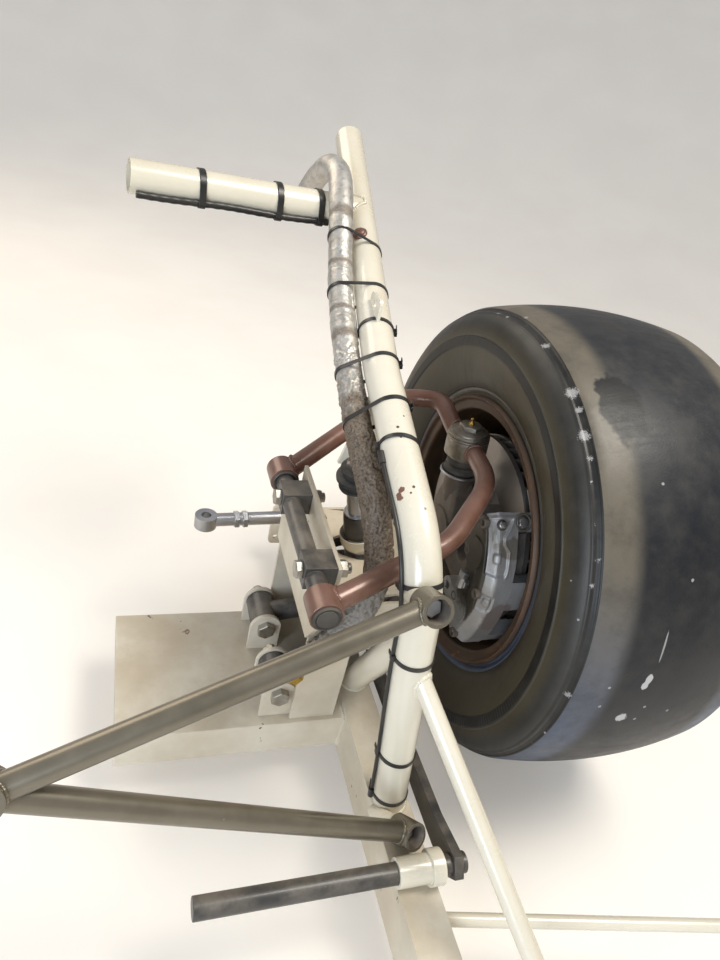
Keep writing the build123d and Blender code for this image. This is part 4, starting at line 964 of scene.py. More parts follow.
FINISHES: dict[Slot, Finish] = {
    Slot.FRAME_PAINT: MarkedFinish(
        "cream gloss paint", (0.77, 0.71, 0.58), (0.72, 0.66, 0.52), under=(0.16, 0.055, 0.03),
        dust=(0.52, 0.43, 0.30), roughness=0.24, coat=0.6, chips=0.10, chip_scale=120.0, wear=0.3,
        dust_amount=0.18, bump=0.04, grain_scale=220.0, grain_lumps=0.6, mottle_scale=5.0,
        worn_metallic=0.1, marks=TUBE_MARKS),
    Slot.RAIL_PAINT: Finish(
        "dusty cream paint", (0.70, 0.64, 0.52), (0.55, 0.47, 0.35), under=(0.14, 0.08, 0.05),
        dust=(0.50, 0.41, 0.29), roughness=0.5, coat=0.15, chips=0.3, wear=0.5, dust_amount=0.6,
        bump=0.16, mottle_scale=9.0, worn_metallic=0.2),
    Slot.BRACE_PAINT: Finish(
        "gunmetal satin paint", (0.150, 0.130, 0.092), (0.19, 0.165, 0.12), under=(0.35, 0.33, 0.30),
        roughness=0.3, metallic=0.55, coat=0.25, chips=0.16, wear=0.6, dust_amount=0.16, bump=0.05,
        mottle_scale=8.0),
    Slot.ARM_PAINT: Finish(
        "copper brown paint", (0.150, 0.066, 0.040), (0.22, 0.115, 0.085), under=(0.30, 0.20, 0.17),
        dust=(0.25, 0.18, 0.15), roughness=0.32, metallic=0.2, coat=0.35, chips=0.14, wear=0.5,
        dust_amount=0.2, bump=0.08, mottle_scale=26.0),
    Slot.DARK_PAINT: Finish(
        "satin black paint", (0.022, 0.022, 0.023), (0.05, 0.045, 0.04), under=(0.16, 0.12, 0.09),
        roughness=0.38, coat=0.2, chips=0.2, wear=0.6, dust_amount=0.35, bump=0.1),
    Slot.SPRING_PAINT: Finish(
        "dusty grey paint", (0.10, 0.10, 0.105), (0.16, 0.14, 0.11), under=(0.22, 0.14, 0.09),
        roughness=0.5, chips=0.3, wear=0.5, dust_amount=0.6, bump=0.12),
    Slot.BRIGHT_STEEL: Finish(
        "zinc plated steel", (0.56, 0.57, 0.60), (0.42, 0.42, 0.43), under=(0.30, 0.20, 0.12),
        roughness=0.3, metallic=1.0, chips=0.15, dust_amount=0.25, bump=0.05, streaks=0.3),
    Slot.JOINT_STEEL: Finish(
        "worn bare steel", (0.33, 0.30, 0.25), (0.15, 0.13, 0.10), under=(0.62, 0.60, 0.56),
        dust=(0.24, 0.20, 0.15), roughness=0.36, metallic=0.85, wear=0.9, wear_width=0.0016,
        dust_amount=0.32, bump=0.1, streaks=0.4, mottle_scale=45.0, worn_metallic=1.0),
    Slot.BOLT_STEEL: Finish(
        "dull plated steel", (0.46, 0.44, 0.40), (0.30, 0.27, 0.22), under=(0.5, 0.48, 0.44),
        roughness=0.36, metallic=0.9, wear=0.6, dust_amount=0.3, bump=0.08, mottle_scale=60.0,
        worn_metallic=1.0),
    Slot.CAST_STEEL: Finish(
        "rough cast steel", (0.10, 0.09, 0.08), (0.17, 0.13, 0.10), under=(0.30, 0.27, 0.24),
        roughness=0.55, metallic=0.6, wear=0.5, dust_amount=0.5, bump=0.5, grain_scale=380.0,
        mottle_scale=25.0),
    Slot.CAST_ALUMINIUM: MarkedFinish(
        "dusty cast aluminium", (0.46, 0.46, 0.46), (0.34, 0.33, 0.32), under=(0.72, 0.71, 0.70),
        dust=(0.26, 0.22, 0.17), roughness=0.42, metallic=0.6, wear=0.7, dust_amount=0.4, bump=0.4,
        grain_scale=420.0, mottle_scale=22.0, worn_metallic=0.9, marks=CAST_MARKS),
    Slot.TURNED_ALUMINIUM: Finish(
        "turned aluminium", (0.58, 0.58, 0.59), (0.46, 0.45, 0.45), under=(0.3, 0.3, 0.3),
        roughness=0.3, metallic=0.95, dust_amount=0.35, bump=0.05, streaks=0.4),
    Slot.ROTOR_IRON: Finish(
        "ground iron", (0.30, 0.28, 0.26), (0.22, 0.18, 0.15), under=(0.20, 0.09, 0.04),
        dust=(0.22, 0.12, 0.07), roughness=0.34, metallic=0.85, chips=0.25, dust_amount=0.25, bump=0.06),
    Slot.PAD_LINING: Finish(
        "friction lining", (0.05, 0.048, 0.045), (0.09, 0.08, 0.07), roughness=0.85, dust_amount=0.4,
        bump=0.4, grain_scale=700.0),
    Slot.WHEEL_PAINT: Finish(
        "rust brown wheel", (0.050, 0.032, 0.021), (0.105, 0.055, 0.028), under=(0.22, 0.085, 0.03),
        dust=(0.13, 0.085, 0.05), roughness=0.55, metallic=0.2, coat=0.05, chips=0.4, chip_scale=35.0,
        wear=0.7, wear_width=0.002, dust_amount=0.45, dust_scale=12.0, bump=0.2, worn_metallic=0.1),
    Slot.BOOT_RUBBER: Finish(
        "soft black rubber", (0.018, 0.018, 0.018), (0.035, 0.032, 0.028), roughness=0.55,
        dust_amount=0.4, bump=0.12, grain_scale=350.0),
    Slot.GOLD_ALUMINIUM: Finish(
        "gold anodised aluminium", (0.52, 0.33, 0.06), (0.42, 0.26, 0.05), under=(0.5, 0.48, 0.44),
        roughness=0.26, metallic=1.0, wear=0.5, dust_amount=0.2, bump=0.04, streaks=0.3),
    Slot.TIE_PLASTIC: Finish(
        "black nylon", (0.009, 0.009, 0.009), (0.018, 0.017, 0.016), roughness=0.34, dust_amount=0.1,
        bump=0.04),
    Slot.HEAT_SLEEVE: SleeveFinish(
        "aluminised sleeve", (0.66, 0.64, 0.60), (0.52, 0.49, 0.44), dust=(0.30, 0.24, 0.17),
        roughness=0.36, metallic=0.7, worn_metallic=0.1, dust_amount=0.25, dust_scale=40.0, bump=0.4,
        bump_depth=0.0015, grain_scale=300.0, mottle_scale=60.0),
}


@contextmanager
def opened(mesh: bpy.types.Mesh) -> Iterator[bmesh.types.BMesh]:
    """Open a mesh for editing, and write it back afterwards."""
    work = bmesh.new()
    work.from_mesh(mesh)
    yield work
    work.to_mesh(mesh)
    work.free()


def into_scene(name: str, data: bpy.types.ID) -> bpy.types.Object:
    """Put an object with this data into the scene."""
    thing = bpy.data.objects.new(name, data)
    bpy.context.scene.collection.objects.link(thing)
    return thing


class Workshop:
    """Puts finished pieces into the scene, each on the body that carries it."""

    def __init__(self) -> None:
        """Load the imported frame."""
        self.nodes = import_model()["nodes"]
        self.done: list[str] = []

    def add(self, surface: Surface, name: str, body: str, slot: Slot, replaces: Sequence[str] = (),
            crease: float = 38.0, bevel: float = 0.0,
            material: bpy.types.Material | None = None) -> bpy.types.Object:
        """Turn a surface into a piece of the object.

        Args:
            surface: points and faces, in the frame.
            name: the piece's name.
            body: the body that it rides on.
            slot: the record's slot for its finish.
            replaces: CAD nodes that it stands for.
            crease: edges that turn by more degrees than this stay sharp.
            bevel: width that sharp edges are rounded by.
            material: a finish other than the slot's own.

        Returns:
            The new object.
        """
        mesh = self.mesh_of(surface, name)
        with opened(mesh) as work:
            bmesh.ops.remove_doubles(work, verts=work.verts, dist=SAME_POINT)
            bmesh.ops.recalc_face_normals(work, faces=work.faces)
        return self.finish(mesh, name, body, slot, replaces, crease, bevel, material)

    def dress(self, node: str, slot: Slot, bevel: float = 0.0006, crease: float = 30.0,
              keep: Callable[[Array], Array] | None = None,
              cutter: Surface | None = None) -> bpy.types.Object:
        """Stand a merged and rounded copy of a CAD node in its place.

        Args:
            node: the CAD node.
            slot: the record's slot for its finish.
            bevel: width that sharp edges are rounded by.
            crease: edges that turn by more degrees than this are sharp.
            keep: tells which points of the copy stay, given all of them.
            cutter: a closed surface whose inside is cut away from the copy.

        Returns:
            The new object.
        """
        mesh = self.nodes[node].data.copy()
        mesh.materials.clear()
        if cutter:
            mesh = self.cut(mesh, cutter)
        if keep:
            points = np.empty(len(mesh.vertices) * 3, np.float32)
            mesh.vertices.foreach_get("co", points)
            with opened(mesh) as work:
                work.verts.ensure_lookup_table()
                gone = [work.verts[index] for index in np.flatnonzero(~keep(points.reshape(-1, 3)))]
                bmesh.ops.delete(work, geom=gone, context="VERTS")
        with opened(mesh) as work:
            bmesh.ops.remove_doubles(work, verts=work.verts, dist=SAME_POINT)
            if bevel:
                bmesh.ops.dissolve_limit(work, angle_limit=math.radians(0.4), verts=work.verts,
                                         edges=work.edges)
        body = self.nodes[node]["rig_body"]
        return self.finish(mesh, node + "_dressed", body, slot, (node,), crease, bevel)

    def dress_all(self, slot: Slot, bevel: float, *nodes: str) -> None:
        """Dress several CAD nodes alike."""
        for node in nodes:
            self.dress(node, slot, bevel)

    def cut(self, mesh: bpy.types.Mesh, cutter: Surface) -> bpy.types.Mesh:
        """Cut a closed surface's inside away from a mesh.

        Args:
            mesh: the mesh, which is used up.
            cutter: the closed surface.

        Returns:
            The new mesh.
        """
        tool_mesh = self.mesh_of(cutter, "cutter")
        for part in (mesh, tool_mesh):
            with opened(part) as work:
                bmesh.ops.remove_doubles(work, verts=work.verts, dist=SAME_POINT)
                bmesh.ops.recalc_face_normals(work, faces=work.faces)
        whole, tool = into_scene("whole", mesh), into_scene("cutter", tool_mesh)
        difference = whole.modifiers.new("cut", "BOOLEAN")
        difference.operation, difference.solver, difference.object = "DIFFERENCE", "EXACT", tool
        bpy.context.view_layer.update()
        result = bpy.data.meshes.new_from_object(whole.evaluated_get(bpy.context.evaluated_depsgraph_get()))
        for thing in (whole, tool):
            bpy.data.objects.remove(thing)
        return result

    @staticmethod
    def mesh_of(surface: Surface, name: str) -> bpy.types.Mesh:
        """Write a surface's points, faces and UV pairs into a new mesh.

        Args:
            surface: the surface.
            name: the mesh's name.

        Returns:
            The mesh.
        """
        mesh = bpy.data.meshes.new(name)
        mesh.vertices.add(len(surface.points))
        mesh.vertices.foreach_set("co", surface.points.astype(np.float32).ravel())
        mesh.loops.add(surface.quads.size)
        mesh.loops.foreach_set("vertex_index", surface.quads.astype(np.int32).ravel())
        mesh.polygons.add(len(surface.quads))
        mesh.polygons.foreach_set("loop_start", np.arange(0, surface.quads.size, 4, dtype=np.int32))
        mesh.update(calc_edges=True)
        layer = mesh.uv_layers.new(name="UVMap")
        layer.data.foreach_set("uv", surface.uv[surface.quads.ravel()].astype(np.float32).ravel())
        return mesh

    def finish(self, mesh: bpy.types.Mesh, name: str, body: str, slot: Slot, replaces: Sequence[str],
               crease: float, bevel: float, material: bpy.types.Material | None = None) -> bpy.types.Object:
        """Mark a merged mesh's creases, give it its finish and let it ride on its body.

        Args:
            mesh: the piece's mesh, whose faces point outwards.
            name, body, slot, replaces, crease, bevel, material: as in add().

        Returns:
            The new object.
        """
        with opened(mesh) as work:
            for face in work.faces:
                face.smooth = True
            for edge in work.edges:
                edge.smooth = edge.is_manifold and edge.calc_face_angle(0.0) < math.radians(crease)
        piece = into_scene(name, mesh)
        mesh.materials.append(material or FINISHES[slot].build())
        if bevel:
            rounding = piece.modifiers.new("rounded edges", "BEVEL")
            rounding.width, rounding.segments, rounding.harden_normals = bevel, 2, True
            rounding.limit_method, rounding.angle_limit = "ANGLE", math.radians(crease)
        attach(piece, body)
        if replaces:
            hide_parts(*replaces)
        self.done.append(name)
        log.info("%s on %s: %d faces", name, body, len(mesh.polygons))
        return piece


@dataclass
class Tie:
    """The sizes that every cable tie shares."""

    width: float = 0.0056
    thickness: float = 0.0013
    head: tuple[float, float, float] = (0.0082, 0.0078, 0.0052)
    tail: float = 0.007

    def closed(self, loop: Array, normal: Array, seat: Array, out: Array) -> Surface:
        """Make the strap, its head on a seat, and the cut end of its tail beside the head."""
        along = np.cross(out, normal)
        axes = np.array([normal, along, out])
        head = rounded_box(seat + out * self.head[2] * 0.45, axes, self.head, 0.0009)
        tail = rounded_box(seat + out * 0.0035 + along * (self.head[1] + self.tail) * 0.5, axes,
                           (self.width, self.tail, self.thickness), 0.0005)
        return strap(loop, normal, self.width, self.thickness) + head + tail


@dataclass
class TubeFrame:
    """The rail and the painted tubes of the front clip, with their welds and the ties on the tube alone."""

    tube_outer: float = 0.04445
    tube_wall: float = 0.003
    brace_outer: float = 0.0381
    strut_outer: float = 0.0222
    bar_outer: float = 0.0159
    foot: tuple = (-300.0, -303.0, -211.9)
    corner: tuple = (-341.0, -280.0, 165.0)
    knee: tuple = (-341.0, -27.0, 268.0)
    rear: tuple = (-292.0, 470.0, 452.0)
    bends: tuple = (0.120, 0.400)
    cross_joint: tuple = (-313.0, 275.0, 381.0)
    cross_end: tuple = (-640.0, 235.0, 391.0)
    brace_foot: tuple = (-296.0, -104.0, -211.9)
    brace_head: tuple = (-333.0, -283.0, 75.0)
    strut_start: tuple = (-327.0, -283.0, 40.0)
    strut_end: tuple = (-207.0, -562.0, -183.0)
    bar_start: tuple = (-272.4, -449.0, -227.8)
    bar_end: tuple = (60.2, -531.0, -191.9)
    weld: float = 0.0030
    tube_ties: tuple = ((0.706, 75.0, 0.10), (0.521, 255.0, 0.22), (0.357, 268.0, -0.04),
                        (0.259, 268.0, 0.05), (0.098, 262.0, 0.14), (0.022, 250.0, 0.05))
    cable_radius: float = 0.0024
    cable_run: tuple = (0.012, 0.515)
    cable_angles: tuple = (262.0, 276.0)
    plug_place: tuple = (0.881, -32.0)
    loom_radius: float = 0.0046
    loom_ends: tuple = (0.008, 0.276)
    loom_way: tuple = (0.0, -0.80, -0.60)
    loom_clamps: tuple = (0.092, 0.200, 0.262)

    def route(self) -> Array:
        """Give the main tube's centre line."""
        return rounded_route(places([self.foot, self.corner, self.knee, self.rear]), self.bends)

    def build(self, shop: Workshop) -> None:
        """Make the tubes, lay their welds and dress the rail."""
        shop.dress("frame_rail", Slot.RAIL_PAINT, bevel=0.003, crease=40.0)
        shop.add(open_tube(self.route(), self.tube_outer, self.tube_wall), "main_tube_painted", "frame",
                 Slot.FRAME_PAINT, replaces=("main_tube",))
        shop.dress_all(Slot.FRAME_PAINT, 0.0, "cross_tube", "rail_brace", "nose_strut", "fender_bar",
                       "brace_bosses")
        shop.dress_all(Slot.FRAME_PAINT, 0.0008, "hinge_tab", "shock_bracket", "sway_bar_sleeve")
        shop.dress("cross_member", Slot.RAIL_PAINT, bevel=0.002)
        shop.add(self.welds(), "frame_welds", "frame", Slot.FRAME_PAINT, crease=80.0)
        shop.add(self.rail_welds(), "rail_welds", "frame", Slot.RAIL_PAINT, crease=80.0)
        ties = joined(self.tube_tie(*row) for row in self.tube_ties)
        shop.add(ties, "tube_ties", "frame", Slot.TIE_PLASTIC)
        shop.add(self.cable(), "sensor_cable", "frame", Slot.TIE_PLASTIC, crease=50.0)
        shop.add(self.plug(), "tube_plug", "frame", Slot.ARM_PAINT, crease=50.0)
        shop.add(self.wiring(), "tube_loom", "frame", Slot.TIE_PLASTIC, crease=50.0)

    def welds(self) -> Surface:
        """Lay a bead where each tube meets another, and where it meets the rail."""
        foot, corner, knee, rear = places([self.foot, self.corner, self.knee, self.rear])
        leg = Rod.between(foot, corner, self.tube_outer)
        back = Rod(rear, unit(rear - knee), self.tube_outer / 2)
        tubes = [Rod.between(*places(ends), outer) for ends, outer in (
            ((self.cross_end, self.cross_joint), self.tube_outer),
            ((self.brace_foot, self.brace_head), self.brace_outer),
            ((self.strut_end, self.strut_start), self.strut_outer))]
        lines = [tube.on_tube(other) for tube, other in zip(tubes, (back, leg, leg))]
        lines += [leg.on_plane(foot, UP), tubes[1].on_plane(foot, UP)]
        return joined(weld_bead(line, self.weld, 7.0 * index) for index, line in enumerate(lines))

    def rail_welds(self) -> Surface:
        """Lay a bead round the thin bar's foot and along the cross member's joint with the rail."""
        bar = Rod.between(*places([self.bar_start, self.bar_end]), self.bar_outer)
        beads = [weld_bead(bar.on_plane(bar.start, AXLE), 0.0022)]
        low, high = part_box("cross_member")
        corners = [np.array([high[0], y, z]) for y, z in ((low[1], low[2]), (high[1], low[2]),
                                                          (high[1], high[2]), (low[1], high[2]))]
        for index, corner in enumerate(corners):
            beads.append(weld_run(corner, corners[(index + 1) % 4], 0.0032, 3.0 * index))
        return joined(beads)

    def tube_tie(self, distance: float, head_angle: float, lean: float) -> Surface:
        """Make a tie round the tube alone, on the ellipse where a leaning plane cuts it.

        Args:
            distance: how far along the tube it is.
            head_angle: where its head is, in degrees about the tube.
            lean: how far the plane's normal leans from the tube's line.

        Returns:
            The tie.
        """
        spot, along, first, second = at_distance(self.route(), distance)
        normal = unit(along + lean * second)
        rim = spread(first, second, ring(self.tube_outer / 2 + 0.0002, 120))
        loop = spot + rim - along * (rim @ normal / (along @ normal))[:, None]
        out = unit(way_at(first, second, head_angle))
        reach = out * self.tube_outer / 2
        seat = spot + reach - along * (reach @ normal) / (along @ normal)
        return Tie().closed(loop, normal, seat, unit(out - normal * (out @ normal)))

    def cable(self) -> Surface:
        """Run a thin cable down the tube's inboard side, under its ties, with a moulded end at each end."""
        path = self.route()
        first, second = section_axes(path)
        length = travelled(path)
        low, high = self.cable_run
        stays = (length > low) & (length < high)
        share = (length[stays] - low) / (high - low)
        angle = np.radians(np.interp(share, [0, 1], self.cable_angles) + 5 * np.sin(share * 11))[:, None]
        out = first[stays] * np.cos(angle) + second[stays] * np.sin(angle)
        line = resample(path[stays] + out * (self.tube_outer / 2 + self.cable_radius), 0.004)
        ends = [carried(resample(part, 0.002), ring(self.cable_radius * 1.7, 24))
                for part in (line[:5], line[-5:])]
        return joined([carried(line, ring(self.cable_radius, 20)), *ends])

    def wiring(self) -> Surface:
        """Run the black loom along the cross tube's lower side, inside straps that go round both."""
        start, end = places([self.cross_end, self.cross_joint])
        along = unit(end - start)
        first, second = cross_axes(along)
        travel = np.arange(*self.loom_ends, 0.003)
        below = np.array(self.loom_way)
        angle = (math.atan2(below @ second, below @ first) + 0.05 * np.sin(travel * 38))[:, None]
        reach = self.tube_outer / 2 + self.loom_radius + 0.0003
        line = start + along * travel[:, None] + (first * np.cos(angle) + second * np.sin(angle)) * reach
        ripple = 1 + 0.06 * np.sin(np.arange(len(line)) * 1.3)
        clamps = []
        for spot in self.loom_clamps:
            aside = np.interp(spot, travel, angle[:, 0])
            loop = hull_loop(start + along * spot, first, second, self.tube_outer / 2 + 0.0002,
                             reach * np.array([math.cos(aside), math.sin(aside)]), self.loom_radius + 0.0005)
            clamps.append(strap(loop, along, 0.009, 0.0014))
        return joined([carried(line, ring(self.loom_radius, 28) * ripple[:, None, None]), *clamps])

    def plug(self) -> Surface:
        """Make the rust coloured rubber plug in the tube: a low dome with a rolled rim."""
        distance, angle = self.plug_place
        spot, _, first, second = at_distance(self.route(), distance)
        out = way_at(first, second, angle)
        return lathe([(0.0, -3.0), (9.0, -3.0), (10.5, -1.0), (10.8, 1.5), (9.6, 3.0), (8.6, 3.2),
                      (8.0, 5.0), (6.0, 6.6), (3.0, 7.4), (0.0, 7.6)],
                     spot + out * self.tube_outer / 2, out, 48)


@dataclass
class EngineBayBrace:
    """The bolted V brace with its eyes, welds and bolts."""

    tube_outer: float = 0.0254
    eye_radius: float = 0.017
    bore: float = 0.013
    upper_eye: tuple = (-348.0, -318.0, 152.0)
    lower_eye: tuple = (-301.0, -362.0, -187.0)
    apex: tuple = (-740.0, -396.0, 40.0)
    upper_axis: tuple = (0.0, -0.889, 0.458)
    lower_axis: tuple = (0.36, -0.77, 0.53)

    def build(self, shop: Workshop) -> None:
        """Dress the brace and its bolts, line its eyes and weld its tubes into them."""
        shop.dress("v_brace", Slot.BRACE_PAINT, bevel=0.0008)
        shop.dress("brace_bolts", Slot.BRIGHT_STEEL, bevel=0.0004)
        shop.add(self.welds(), "brace_welds", "frame", Slot.BRACE_PAINT, crease=80.0)
        shop.add(self.liners(), "eye_liners", "frame", Slot.CAST_STEEL)

    def eyes(self) -> list[tuple[Array, Array]]:
        """Give each eye's place and axis."""
        return [(place(*eye), unit(np.array(axis))) for eye, axis in
                ((self.upper_eye, self.upper_axis), (self.lower_eye, self.lower_axis))]

    def welds(self) -> Surface:
        """Lay a bead where each tube meets an eye, at both its ends."""
        apex = Rod(place(*self.apex), unit(np.array(self.upper_axis)), self.eye_radius)
        beads = []
        for index, (eye, axis) in enumerate(self.eyes()):
            bush = Rod(eye, axis, self.eye_radius)
            for start, end in ((apex, bush), (bush, apex)):
                tube = Rod.between(start.start, end.start, self.tube_outer)
                beads.append(weld_bead(tube.on_tube(end), 0.0021, 5.0 * index))
        return joined(beads)

    def liners(self) -> Surface:
        """Line each eye's open end with a thin rusty sleeve."""
        bore = self.bore / MILLIMETRE
        rim = [(bore - 0.05, -8.4), (bore - 0.5, -8.4), (bore - 0.5, 16.6), (bore - 0.05, 17.2)]
        return joined(lathe(rim, eye, axis, 64, closed=True) for eye, axis in self.eyes())


@dataclass
class FrontSuspension:
    """Arms, ball joints, spring, shock absorber, tower and sway bar."""

    upper_ball: tuple = (-163.0, 17.0, 136.0)
    lower_ball: tuple = (-150.0, -3.0, -122.0)
    ring_lift: float = 0.006
    ring_outer: float = 0.031
    ring_inner: float = 0.02375
    ring_height: float = 0.030
    socket_radius: float = 0.0153
    arm_outer: float = 0.0267
    rear_bushing: tuple = (-435.0, -6.0, 96.0)
    front_bushing: tuple = (-435.0, -256.0, 96.0)
    bushing_radius: float = 0.019
    bushing_length: float = 0.034
    shaft_radius: float = 0.0122
    shock_top: tuple = (-352.0, -62.0, 132.0)
    shock_foot: tuple = (-293.0, -46.0, -124.0)

    def kingpin(self) -> Array:
        """Give the direction from the lower ball joint to the upper one."""
        return unit(place(*self.upper_ball) - place(*self.lower_ball))

    def ring_centre(self) -> Array:
        """Give the middle of the arm's ring."""
        return place(*self.upper_ball) + self.kingpin() * self.ring_lift

    def arm_legs(self) -> list[Array]:
        """Give the centre lines of the rear and the front leg, from the ring out to the bushings."""
        start = (self.ring_centre() - WHEEL_CENTRE) / MILLIMETRE
        rear = places([start + (-6, 18, 0), (-178, 100, 168), (-236, 142, 150), self.rear_bushing])
        front = places([start + (2, -14, 1), (-178, -92, 148), (-266, -187, 126), self.front_bushing])
        return [rounded_route(rear, (0.030, 0.060)), rounded_route(front, (0.120, 0.130))]

    def build(self, shop: Workshop) -> None:
        """Make the upper arm and its ball joint, and dress the suspension's other pieces."""
        legs = self.arm_legs()
        shop.add(joined(carried(leg, ring(self.arm_outer / 2, 56)) for leg in legs) + self.bushing_sleeves(),
                 "upper_arm_legs", "frame", Slot.ARM_PAINT, replaces=("upper_arm",))
        shop.add(self.arm_welds(legs), "upper_arm_welds", "frame", Slot.ARM_PAINT, crease=80.0)
        shop.add(self.arm_ring() + self.joint_housing(), "upper_joint_housing", "frame", Slot.JOINT_STEEL,
                 replaces=("upper_ball_joint",), bevel=0.0004)
        shop.add(self.grease_nipple(), "grease_nipple", "frame", Slot.GOLD_ALUMINIUM, crease=50.0)
        shop.add(self.bushing_rubbers(), "bushing_rubbers", "frame", Slot.BOOT_RUBBER)
        shop.dress_all(Slot.RAIL_PAINT, 0.001, "spring_tower", "pivot_brackets")
        shop.dress_all(Slot.DARK_PAINT, 0.001, "lower_arm", "upper_shaft", "shock_body", "sway_bar",
                       "sway_bar_arm")
        shop.dress("coil_spring", Slot.SPRING_PAINT, bevel=0.0)
        shop.dress_all(Slot.JOINT_STEEL, 0.0006, "lower_ball_joint", "upper_ball_stud", "lower_ball_stud")
        shop.dress_all(Slot.BRIGHT_STEEL, 0.0005, "shock_shaft", "sway_bar_link")
        shop.dress_all(Slot.BOLT_STEEL, 0.0004, "lower_pivot_bolts", "shaft_bolts")
        shop.dress("upper_boot", Slot.BOOT_RUBBER, bevel=0.001)
        self.build_shock(shop)

    def build_shock(self, shop: Workshop) -> None:
        """Turn the shock absorber's stepped bushing, brown nut, black cover, bright ring and white cup."""
        top, foot = place(*self.shock_top), place(*self.shock_foot)
        axis = unit(top - foot)
        bushing = [(7.5, -14.4), (22.4, -14.6), (24.6, -12.0), (24.2, -9.7), (19.5, -9.5), (19.5, -1.0),
                   (26.6, -0.8), (27.5, 0.6), (27.5, 4.6), (25.0, 6.0), (19.6, 6.6), (19.6, 14.1),
                   (21.5, 14.3), (21.5, 17.2), (7.5, 17.3)]
        cover = [(14.1, 165.0), (18.9, 165.0), (18.9, 200.0), (17.9, 203.0), (14.1, 203.6)]
        band = [(14.05, 203.7), (17.6, 203.9), (18.0, 204.8), (17.6, 205.8), (14.05, 206.0)]
        cup = [(18.8, 146.0), (20.5, 144.0), (24.0, 152.0), (24.5, 165.5), (23.4, 166.2), (22.6, 164.4),
               (21.6, 153.0), (19.0, 150.0)]
        nut = hex_head(top + axis * 0.0174, axis, 0.025, 0.0094)
        for name, surface, slot in (
            ("shock_bushing", lathe(bushing, top, axis, closed=True), Slot.BOOT_RUBBER),
            ("shock_nut", nut, Slot.ROTOR_IRON),
            ("shock_cover", lathe(cover, foot, axis, closed=True), Slot.DARK_PAINT),
            ("shock_band", lathe(band, foot, axis, closed=True), Slot.BRIGHT_STEEL),
            ("shock_cup", lathe(cup, foot, axis, closed=True), Slot.FRAME_PAINT),
        ):
            shop.add(surface, name, "frame", slot)

    def arm_welds(self, legs: list[Array]) -> Surface:
        """Lay a bead where each leg meets the ring and its bushing's sleeve.

        Args:
            legs: the legs' centre lines.

        Returns:
            The four beads.
        """
        beads = []
        for index, leg in enumerate(legs):
            for line, other in ((leg[::-1], Rod(self.ring_centre(), self.kingpin(), self.ring_outer)),
                                (leg, Rod(leg[-1], REARWARD, self.bushing_radius))):
                tube = Rod.between(line[-12], line[-1], self.arm_outer)
                beads.append(weld_bead(tube.on_tube(other), 0.0024, 4.0 * index))
        return joined(beads)

    def arm_ring(self) -> Surface:
        """Turn the ring that holds the ball joint, with a groove under its upper lip."""
        half, outer, inner = self.ring_height / 2, self.ring_outer, self.ring_inner
        section = np.array([
            (inner, -half), (outer - 0.001, -half), (outer, -half + 0.001), (outer, half - 0.006),
            (outer - 0.0012, half - 0.005), (outer - 0.0012, half - 0.0035), (outer, half - 0.0025),
            (outer, half - 0.0006), (outer - 0.0006, half), (inner, half)])
        return turned(section, self.ring_centre(), self.kingpin(), closed=True)

    def joint_housing(self) -> Surface:
        """Make the housing with its ball socket, the stepped cap on it, and the small hexagon on top.

        The socket's section is sqrt(r^2 - x^2) below the ball's middle, and the cap's section is a
        row of shallow rings.
        """
        kingpin, centre = self.kingpin(), self.ring_centre()
        socket = np.linspace(math.radians(-55), math.pi / 2, 18)
        bowl = self.socket_radius * np.stack([np.cos(socket), np.sin(socket)], axis=1) - (0, self.ring_lift)
        shell = np.array([(0.0, 0.0152), (0.0236, 0.0152), (0.0236, -0.020), (bowl[0, 0], -0.020)])
        housing = turned(np.concatenate([shell, bowl]), centre, kingpin)
        top = self.ring_height / 2
        cap = lathe([(0.0, 0.0), (29.6, 0.0), (30.6, 0.8), (30.6, 3.2), (29.8, 4.2), (28.2, 4.6),
                     (27.6, 5.4), (27.4, 7.0), (26.4, 7.9), (23.8, 8.2), (23.2, 8.8), (20.6, 9.0),
                     (20.0, 9.5), (17.2, 9.7), (16.6, 10.0), (0.0, 10.0)],
                    centre + kingpin * (top + 0.0003), kingpin, 96)
        return housing + cap + hex_head(centre + kingpin * (top + 0.0102), kingpin, 0.030, 0.0068, 0.0006)

    def grease_nipple(self) -> Surface:
        """Turn the brass nipple, with its small hexagon."""
        foot = self.ring_centre() + self.kingpin() * (self.ring_height / 2 + 0.0172)
        stem = [(0.0, 0.0), (2.6, 0.0), (2.6, 3.6), (1.7, 4.4), (1.7, 5.8), (2.7, 6.8), (2.7, 7.8),
                (1.6, 9.4), (0.0, 9.6)]
        return lathe(stem, foot, self.kingpin(), 32) + hex_head(foot, self.kingpin(), 0.0080, 0.0028)

    def at_bushings(self, section: Sequence[tuple[float, float]]) -> Surface:
        """Turn a section about the shaft at both bushings."""
        return joined(turned(np.array(section), place(*spot), REARWARD, 72, closed=True)
                      for spot in (self.rear_bushing, self.front_bushing))

    def bushing_sleeves(self) -> Surface:
        """Turn the sleeves at the legs' ends, with their bores."""
        half, outer, inner = self.bushing_length / 2, self.bushing_radius, self.bushing_radius - 0.003
        return self.at_bushings([(inner, -half), (outer - 0.0006, -half), (outer, -half + 0.0006),
                                 (outer, half - 0.0006), (outer - 0.0006, half), (inner, half)])

    def bushing_rubbers(self) -> Surface:
        """Turn the rubber between each sleeve and the shaft, swollen a little at both ends."""
        half, outer, inner = self.bushing_length / 2, self.bushing_radius - 0.0031, self.shaft_radius
        return self.at_bushings([
            (inner, -half - 0.002), (outer - 0.001, -half - 0.003), (outer + 0.0008, -half - 0.0015),
            (outer, -half + 0.001), (outer, half - 0.001), (outer + 0.0008, half + 0.0015),
            (outer - 0.001, half + 0.003), (inner, half + 0.002)])


